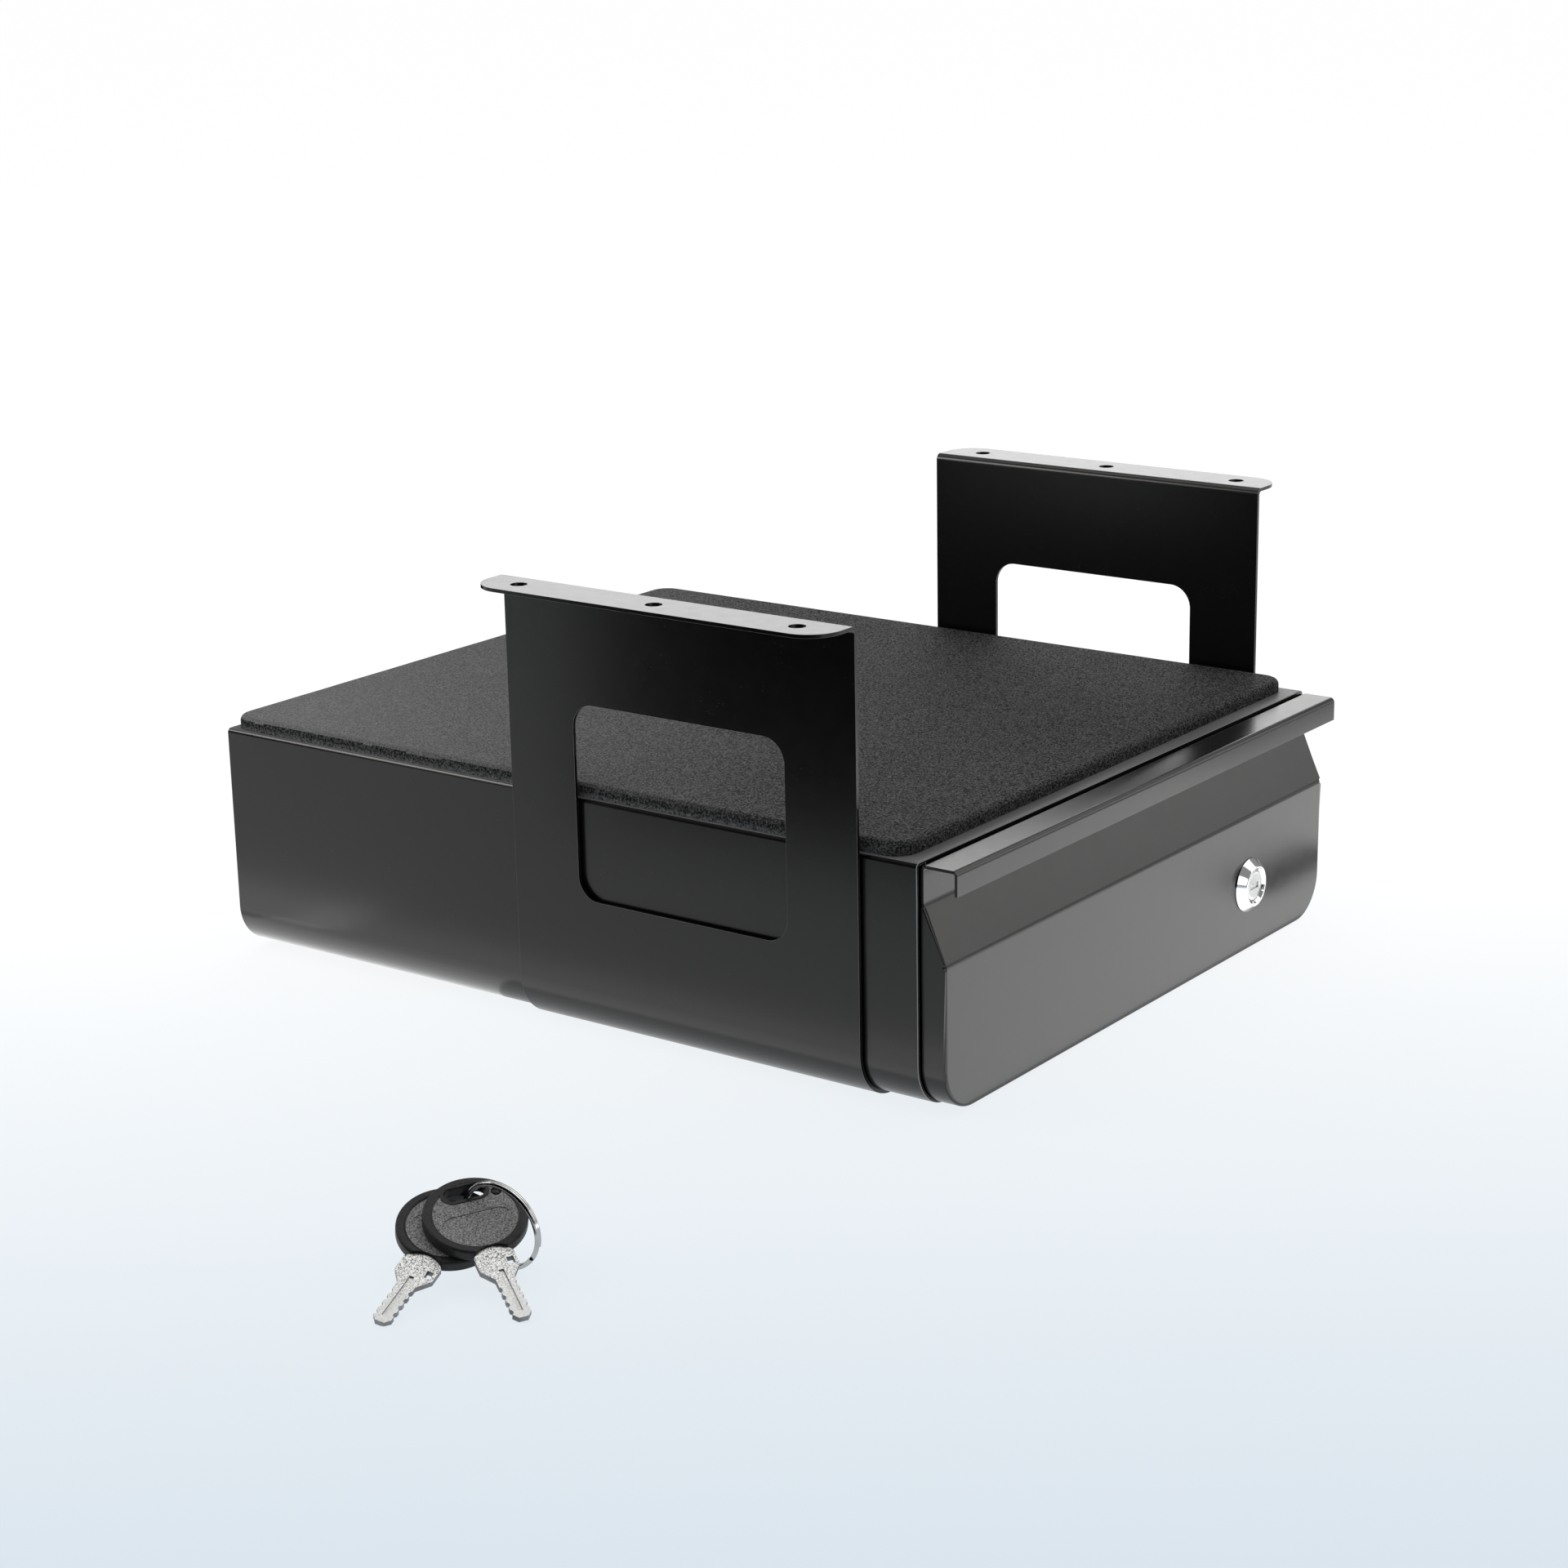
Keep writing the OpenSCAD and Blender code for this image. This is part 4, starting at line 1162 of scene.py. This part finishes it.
@dataclass
class KeyBunch:
    """Two keys on a split ring, lying on the floor. Sizes are in millimetres."""

    head_radius: float = 18.0
    head_t: float = 4.4
    head_round: float = 1.0
    rim: float = 3.0
    web_drop: float = 0.5
    slot_at: float = 11.1
    slot: tuple[float, float] = (15.0, 6.4)
    slot_lip: float = 2.2
    band_at: float = -2.7
    band: tuple[float, float] = (24.0, 8.0)
    rivet_at: tuple[float, float] = (10.4, 8.6)
    rivet: float = 1.25
    rivet_well: float = 1.9
    reach: float = 48.5
    blade_w: float = 6.6
    blade_t: float = 2.2
    shoulder_top: float = -15.0
    shoulder_arc: float = 8.6
    shoulder: tuple[float, float] = (14.0, 10.0)
    shoulder_steps: int = 14
    bites: tuple[float, ...] = (-34.0, -37.5, -41.0, -44.5)
    bite: float = 1.1
    ring_r: float = 15.6
    wire_r: float = 0.9
    ring_steps: int = 170
    ring_rise: float = 1.7
    ring_foot: float = 1.75
    rest_rounds: int = 5
    ring_turn: float = 700.0
    turns: tuple[float, float] = (-25.0, 21.5)
    step: tuple[float, float] = (8.8, 1.0)
    gap: float = 0.05
    ring_pass: tuple[float, float] = (-3.75, 8.8)
    ring_aim: float = -37.0
    ring_tilt: float = 8.0
    heading: float = -50.0
    place: tuple[float, float] = (-347.0, 50.0)
    floor: float = field(default_factory=lambda: span("bracket_left")[0].z)

    def shifts(self) -> tuple[Vector, Vector]:
        """Returns where the lower and the upper key lie beside the upper one's middle."""
        return -Vector((*self.step, 0)), Vector((0, 0, self.head_t + self.gap))

    def ring_centre(self) -> Vector:
        """Works out where the ring's centre lies beside the keys.

        Returns:
            The centre.
        """
        aim = math.radians(self.ring_aim)
        away = self.ring_r * Vector((math.cos(aim), math.sin(aim), 0))
        return Vector((*self.ring_pass, (self.head_t + self.gap) / 2)) + away

    def pose(self) -> Matrix:
        """Works out how the bunch rests on both blade tips and the ring.

        Returns:
            The matrix that lays it on the floor.
        """
        tips = []
        for turn, shift in zip(self.turns, self.shifts()):
            tip = Matrix.Rotation(math.radians(turn), 3, "Z") @ Vector((0, -self.reach, -self.blade_t / 2))
            tips.append(tip + shift)
        aim, tilt = math.radians(self.ring_aim), math.radians(self.ring_tilt)
        axis = Vector((-math.sin(aim) * math.cos(tilt), math.cos(aim) * math.cos(tilt), math.sin(tilt)))
        up = Vector((0, 0, 1))
        for _ in range(self.rest_rounds):
            across = (up - up.dot(axis) * axis).normalized()
            lowest = self.ring_centre() - self.ring_r * across - self.ring_foot * self.wire_r * up
            up = (tips[1] - tips[0]).cross(lowest - tips[0]).normalized()
        turn = Euler((math.atan2(up.y, up.z), -math.asin(up.x), 0), "XYZ").to_matrix().to_4x4()
        heading = Matrix.Rotation(math.radians(self.heading), 4, "Z")
        lift = Matrix.Translation((0, 0, -up.dot(tips[0])))
        return Matrix.Translation((*self.place, self.floor)) @ heading @ lift @ turn

    def key_placed(self, upper: bool, bm: BMesh) -> BMesh:
        """Puts a key's bmesh in its place.

        Args:
            upper: True for the upper key.
            bm: The bmesh.

        Returns:
            The same bmesh.
        """
        shift = Matrix.Translation(self.shifts()[upper])
        turn = Matrix.Rotation(math.radians(self.turns[upper]), 4, "Z")
        bmesh.ops.transform(bm, matrix=self.pose() @ shift @ turn, verts=bm.verts[:])
        return bm

    def stadium(self, at: float, length: float, width: float, first: float, second: float) -> BMesh:
        """Makes an upright solid whose outline has two half-round ends.

        Args:
            at: Its middle's y.
            length: Its length across the key.
            width: Its width.
            first: The height of one end.
            second: The height of the other end.

        Returns:
            The closed bmesh.
        """
        low, high = sorted((first, second))
        return slab((-length / 2, at - width / 2, low), (length / 2, at + width / 2, high), 2,
                    [width / 2 - 0.01] * 4)

    def build_head(self, upper: bool, finishes: Finishes) -> None:
        """Builds a moulded head with its rim, slot, sunk band and rivet dimples.

        Args:
            upper: True for the upper key.
            finishes: The object's materials.
        """
        half, r, bend = self.head_t / 2, self.head_radius, self.head_round
        face, through = half - self.web_drop, (-half - 1, half + 1)
        arc = [(r - bend + bend * math.cos(a), half - bend + bend * math.sin(a))
               for a in (math.pi / 2 * i / 6 for i in range(7))]
        inner = r - self.rim
        outer = [(0.001, face), (inner - 0.5, face), (inner - 0.15, face + 0.1), (inner + 0.15, half - 0.1),
                 (inner + 0.5, half), *reversed(arc)]
        body = lathe(outer + [(x, -z) for x, z in reversed(outer)])
        top, arc_y = self.shoulder_top, self.shoulder_top - self.shoulder_arc
        cutters = []
        for s in (-1, 1):
            cutters.append(self.stadium(self.band_at, *self.band, s * (face - 0.22), s * (face + 1)))
            low, high = sorted((s * (face - 0.5), s * (face + 1)))
            cutters.append(rod((*self.rivet_at, low), (*self.rivet_at, high), self.rivet_well, 32))
        low, high = through
        cutters.append(self.stadium(self.slot_at, *self.slot, low, high))
        cutters.append(rod((0, arc_y, low), (0, arc_y, high), self.shoulder_arc + 0.1, 64))
        cutters.append(block((-r, top - 14.5, low), (r, top - 2.5, high)))
        name = "key_head_" + ("upper" if upper else "lower")
        parts = [Piece(name, body).cut(cutters).taken_back()]
        for s in (-1, 1):
            lip = self.stadium(self.slot_at, *(size + self.slot_lip for size in self.slot), s * (face - 0.3),
                               s * (face + 0.38))
            hole = self.stadium(self.slot_at, *self.slot, *through)
            parts.append(Piece("lip", lip).cut([hole]).taken_back())
            dimple = lathe([(0.001, 0.55), (0.7, 0.5), (1.1, 0.3), (self.rivet, 0.0), (self.rivet, -0.4),
                            (0.001, -0.4)], 32)
            bmesh.ops.scale(dimple, verts=dimple.verts[:], vec=(1, 1, s))
            parts.append(moved(faced(dimple), (*self.rivet_at, s * (face - 0.45))))
        whole = joined(parts)
        for f in whole.faces:
            level = abs(f.calc_center_median().z)
            f.material_index = 0 if abs(f.normal.z) > 0.9 and face - 0.3 < level < face + 0.03 else 1
        Piece(name + "_moulded", self.key_placed(upper, whole)).eased(0.12, 2, 40.0).finish(
            Body.HOUSING, Slot.KEY_PLASTIC, finishes.key_face, finishes.key_rim, smooth=32.0, stands_for=name)

    def build_blade(self, upper: bool, finishes: Finishes) -> None:
        """Builds a blade with its round shoulder, side notch, long grooves and cuts.

        Args:
            upper: True for the upper key.
            finishes: The object's materials.
        """
        wide, deep = self.shoulder
        wide /= 2
        base, arc_y = self.shoulder_top - deep, self.shoulder_top - self.shoulder_arc
        w, t, tip, steps = self.blade_w / 2, self.blade_t / 2, -self.reach, self.shoulder_steps
        chord = math.acos(wide / self.shoulder_arc)
        turns = (chord + (math.pi - 2 * chord) * i / steps for i in range(steps + 1))
        points = [(self.shoulder_arc * math.cos(a), arc_y + self.shoulder_arc * math.sin(a)) for a in turns]
        points += [(-wide, base), (-w, base - 5), (-w, tip + 2), (-w / 2, tip), (w / 2, tip), (w, tip + 2),
                   (w, base - 5), (wide, base)]
        bm = bmesh.new()
        bm.faces.new([bm.verts.new((*p, -t)) for p in points])
        cutters = [block((wide - 3.6, base + 0.5, -t - 1), (wide - 1.2, base + 3.7, t + 1))]
        for s in (-1, 1):
            for y in self.bites:
                at = (s * (w + 0.4), y + s * 0.8)
                cutters.append(rod((*at, -t - 1), (*at, t + 1), self.bite, 24))
        for side, x in ((1, 0.0), (-1, -1.2)):
            z0, z1 = sorted((side * (t - 0.6), side * (t + 1)))
            cutters.append(block((x - 0.8, tip + 3, z0), (x + 0.8, base - 1, z1)))
        name = "key_blade_" + ("upper" if upper else "lower")
        made = Piece(name, swept(bm, (0, 0, 2 * t))).cut(cutters).taken_back()
        layer = made.verts.layers.float.new(FrostedNickel.layer)
        for vert in made.verts:
            vert[layer] = (self.shoulder_top - vert.co.y) / (self.shoulder_top - tip)
        for face in made.faces:
            face.material_index = 1 if abs(face.normal.z) < 0.5 else 0
        Piece(name + "_nickel", self.key_placed(upper, made)).eased(0.16, 2, 40.0).finish(
            Body.HOUSING, Slot.KEY_NICKEL, finishes.nickel, finishes.key_cut, stands_for=name)

    def build_ring(self, finishes: Finishes) -> None:
        """Builds the split ring from nearly two turns of wire that lie side by side.

        Args:
            finishes: The object's materials.
        """
        bm = bmesh.new()
        made = bmesh.ops.create_circle(bm, cap_ends=False, segments=16, radius=self.wire_r)
        quarter = math.radians(90)
        bmesh.ops.rotate(bm, verts=made["verts"], cent=(0, 0, 0), matrix=Matrix.Rotation(quarter, 3, "X"))
        rise = self.ring_rise * self.wire_r
        moved(bm, (self.ring_r, 0, -rise / 2))
        bmesh.ops.spin(bm, geom=bm.verts[:] + bm.edges[:], cent=(0, 0, 0), axis=(0, 0, 1),
                       steps=self.ring_steps, dvec=(0, 0, rise / self.ring_steps),
                       angle=math.radians(self.ring_turn))
        bmesh.ops.remove_doubles(bm, verts=bm.verts[:], dist=NEAR)
        bmesh.ops.holes_fill(bm, edges=[e for e in bm.edges if e.is_boundary])
        faced(bm)
        aim, tilt = math.radians(self.ring_aim), math.radians(self.ring_tilt)
        turn = Matrix.Rotation(aim, 4, "Z") @ Matrix.Rotation(quarter - tilt, 4, "X")
        place = self.pose() @ Matrix.Translation(self.ring_centre()) @ turn
        bmesh.ops.transform(bm, matrix=place, verts=bm.verts[:])
        Piece("split_key_ring", bm).finish(Body.HOUSING, Slot.RING, finishes.ring, smooth=50.0,
                                           stands_for="key_ring")

    def build(self, finishes: Finishes) -> None:
        """Builds both keys and their ring.

        Args:
            finishes: The object's materials.
        """
        for upper in (False, True):
            self.build_head(upper, finishes)
            self.build_blade(upper, finishes)
        self.build_ring(finishes)


@dataclass(frozen=True)
class CarriedNodes:
    """CAD nodes that keep their shape and get a finish and eased edges. Widths are in millimetres."""

    weld: float = 0.002
    sharp: float = 40.0

    def dress(self, names: Iterable[str], material: bpy.types.Material, ease: float) -> None:
        """Dresses CAD nodes.

        Args:
            names: The nodes' names.
            material: Their finish.
            ease: Width of the eased edges, 0 for none.
        """
        for name in names:
            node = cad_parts[name]
            node.data.materials.clear()
            node.data.materials.append(material)
            if ease > 0:
                modify(node, "weld", "WELD", merge_threshold=self.weld * MM)
                modify(node, "ease", "BEVEL", width=ease * MM, segments=2, limit_method="ANGLE",
                       angle_limit=math.radians(self.sharp), harden_normals=True)
            LOG.info("%s keeps its CAD shape", name)

    def build(self, finishes: Finishes) -> None:
        """Dresses all the nodes that no new piece stands for.

        Args:
            finishes: The object's materials.
        """
        self.dress(["rear_panel", "drawer_tray"], finishes.coat, 0.15)
        self.dress(["rear_screws"], finishes.black_screw, 0.12)
        self.dress(["lock_cam"], finishes.zinc, 0.12)
        self.dress(["rear_nuts", "front_nuts", "cam_screw", "cam_washer", "lock_washer"], finishes.screw, 0.1)
        self.dress(["lock_nut"], finishes.brass, 0.15)
        for stem, material, ease in (
            ("slide_rail", finishes.zinc, 0.12), ("drawer_rail", finishes.zinc, 0.12),
            ("ball_cage", finishes.zinc, 0.0), ("cage_balls", finishes.ball, 0.0),
            ("slide_bumper", finishes.rubber, 0.6), ("bracket_screws", finishes.screw, 0.1),
            ("rail_screws", finishes.screw, 0.1),
        ):
            self.dress((stem + "_left", stem + "_right"), material, ease)


@dataclass(frozen=True)
class Softbox:
    """A soft studio light that looks at a point. Lengths are in metres."""

    name: str
    at: Triple
    aim: Triple
    size: tuple[float, float]
    radiance: float
    gloss_only: bool = False

    def build(self) -> None:
        """Adds the light to the scene."""
        data = bpy.data.lights.new(self.name, "AREA")
        data.shape = "RECTANGLE"
        data.size, data.size_y = self.size
        data.energy = self.radiance * math.pi * self.size[0] * self.size[1]
        lamp = bpy.data.objects.new(self.name, data)
        lamp.location = self.at
        lamp.rotation_euler = (Vector(self.aim) - Vector(self.at)).to_track_quat("-Z", "Y").to_euler()
        lamp.visible_camera = False
        lamp.visible_diffuse = not self.gloss_only
        bpy.context.scene.collection.objects.link(lamp)


@dataclass(frozen=True)
class BlackFlag:
    """A black card, upright or level, that only shows in the gloss. Lengths are in metres."""

    name: str
    low: Triple
    high: Triple

    def build(self) -> None:
        """Adds the card to the scene."""
        (x0, y0, z0), (x1, y1, z1) = self.low, self.high
        level = z0 == z1
        bm = bmesh.new()
        corners = ((x0, y0, z0), (x1, y0 if level else y1, z0), (x1, y1, z1), (x0, y1 if level else y0, z1))
        bm.faces.new([bm.verts.new(c) for c in corners])
        card = Studio.staged(self.name, bm, Shader(self.name).dressed({
            "Base Color": (0.0, 0.0, 0.0, 1.0), "Specular IOR Level": 0.0}))
        card.visible_camera = False
        card.visible_diffuse = False
        card.visible_shadow = False


@dataclass(frozen=True)
class Studio:
    """The camera, the floor and the lights. The camera was fitted to the photograph."""

    eye: Triple = (-1095.38, -641.47, 459.44)
    yaw: float = 53.89
    pitch: float = 16.20
    roll: float = -0.017
    focal_pixels: float = 3957.0
    centre_pixels: tuple[float, float] = (996.8, 969.95)
    clip: tuple[float, float] = (0.05, 100.0)
    floor_half: float = 30.0
    sky: Colour = even(1.0)
    sky_strength: float = 0.35
    middle: Triple = (0.0, 0.0, -0.12)
    lock: Triple = (0.085, -0.12, -0.16)
    skin: float = 0.0008
    card_skin: float = 0.0016
    flag_skin: float = 0.002
    level: float = field(default_factory=lambda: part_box("bracket_left")[0].z)

    @staticmethod
    def staged(name: str, bm: BMesh, material: bpy.types.Material) -> bpy.types.Object:
        """Adds a thing of the studio, which isn't part of the drawer.

        Args:
            name: Its name.
            bm: Its mesh in metres, which is freed.
            material: Its material.

        Returns:
            The new object.
        """
        mesh = bpy.data.meshes.new(name)
        bm.to_mesh(mesh)
        bm.free()
        mesh.materials.append(material)
        thing = bpy.data.objects.new(name, mesh)
        bpy.context.scene.collection.objects.link(thing)
        return thing

    def axes(self) -> tuple[Vector, Vector, Vector]:
        """Works out how the camera is turned.

        Returns:
            Its right, up and forward directions.
        """
        yaw, pitch = math.radians(self.yaw), math.radians(self.pitch)
        forward = Vector((math.sin(yaw) * math.cos(pitch), math.cos(yaw) * math.cos(pitch), -math.sin(pitch)))
        level = Vector((math.cos(yaw), -math.sin(yaw), 0))
        upright = level.cross(forward)
        right = math.cos(self.roll) * level + math.sin(self.roll) * upright
        return right, math.cos(self.roll) * upright - math.sin(self.roll) * level, forward

    def build_camera(self) -> None:
        """Adds the camera at the photograph's viewing angle."""
        data = bpy.data.cameras.new("photo_camera")
        data.sensor_width = SENSOR_MM
        data.lens = self.focal_pixels / IMAGE_PIXELS * SENSOR_MM
        centre_x, centre_y = self.centre_pixels
        data.shift_x, data.shift_y = 0.5 - centre_x / IMAGE_PIXELS, centre_y / IMAGE_PIXELS - 0.5
        data.clip_start, data.clip_end = self.clip
        camera = bpy.data.objects.new("photo_camera", data)
        right, upright, forward = self.axes()
        turn = Matrix((right, upright, -forward)).transposed().to_4x4()
        camera.matrix_world = Matrix.Translation(ORIGIN + Vector(self.eye) * MM) @ turn
        bpy.context.scene.collection.objects.link(camera)
        bpy.context.scene.camera = camera

    def build_floor(self) -> None:
        """Adds the plain pale floor that the brackets' feet stand on."""
        bm = bmesh.new()
        bmesh.ops.create_grid(bm, x_segments=1, y_segments=1, size=self.floor_half)
        heading = self.axes()[2]
        material = StudioFloor().build(Vector((heading.x, heading.y, 0)).normalized())
        self.staged("studio_floor", moved(bm, (0, 0, self.level)), material)

    def build_lights(self) -> None:
        """Adds the soft lights, the reflectors that lie on the floor and the even sky."""
        world = bpy.data.worlds.new("studio_sky")
        world.use_nodes = True
        back = world.node_tree.nodes["Background"]
        back.inputs["Color"].default_value = (*self.sky, 1.0)
        back.inputs["Strength"].default_value = self.sky_strength
        bpy.context.scene.world = world
        for box in (
            Softbox("overhead_box", (0.1, 0.1, 2.1), self.middle, (2.4, 2.4), 1.1),
            Softbox("back_right_box", (2.6, 1.9, 0.95), self.middle, (3.4, 1.5), 2.1),
            Softbox("right_box", (1.0, -0.75, 1.45), self.lock, (1.7, 1.5), 1.5, True),
            Softbox("lock_box", (-0.52, -1.48, 0.30), self.lock, (0.5, 0.7), 2.0, True),
            Softbox("back_left_box", (-0.6, 0.75, 0.5), (-0.12, 0.2, -0.08), (0.5, 0.4), 4.0),
            Softbox("front_right_box", (1.5, -1.6, 0.55), self.middle, (1.6, 1.0), 1.6),
            Softbox("fold_box", (-0.66, 1.02, 0.66), self.middle, (0.95, 0.55), 2.2, True),
        ):
            box.build()
        for name, x, y, skin, size, radiance in (
            ("low_reflector", 0.17, -0.25, self.skin, (0.66, 0.25), 1.3),
            ("left_reflector", -0.19, 0.05, self.skin, (0.05, 0.42), 0.7),
            ("rear_reflector", -0.20, 0.30, self.skin, (0.05, 0.14), 0.9),
            ("bend_reflector", -0.15, 0.20, self.skin * 0.75, (0.03, 0.18), 0.9),
            ("edge_reflector", -0.27, -0.28, self.skin, (0.16, 0.20), 4.0),
        ):
            Softbox(name, (x, y, self.level + skin), (x, y, 1.0), size, radiance, True).build()

    def build_flags(self) -> None:
        """Adds the black cards that keep the coat's reflections dark."""
        foot, card = self.level + self.flag_skin, self.level + self.card_skin
        for flag in (
            BlackFlag("left_flag", (-0.41, -0.7, foot), (-0.41, 0.26, 0.32)),
            BlackFlag("back_flag", (-0.162, 0.30, foot), (0.12, 0.30, self.level + 0.22)),
            BlackFlag("side_flag", (-0.34, 0.30, self.level + 0.095), (-0.162, 0.30, self.level + 0.13)),
            BlackFlag("window_flag", (-0.154, -0.112, -0.0885), (-0.154, 0.056, -0.070)),
            BlackFlag("lock_flag", (0.156, -0.172, card), (0.238, -0.150, card)),
            BlackFlag("pull_flag", (0.34, -0.42, card), (0.62, -0.29, card)),
        ):
            flag.build()

    def build(self) -> None:
        """Builds the camera, then the floor, the lights and the cards."""
        bpy.context.scene.view_settings.view_transform = "Standard"
        self.build_camera()
        self.build_floor()
        self.build_lights()
        self.build_flags()


def main() -> None:
    """Builds the studio, then every sub-assembly in order."""
    logging.basicConfig(level=logging.INFO, format="%(message)s")
    Studio().build()
    finishes = Finishes()
    lock = CamLock()
    for build in (Housing().build, ShelfMat().build, Bracket(-1).build, Bracket(1).build, DrawerFront().build,
                  lock.build_body, lock.build_plug, KeyBunch().build, CarriedNodes().build):
        build(finishes)


if __name__ == "__main__":
    main()
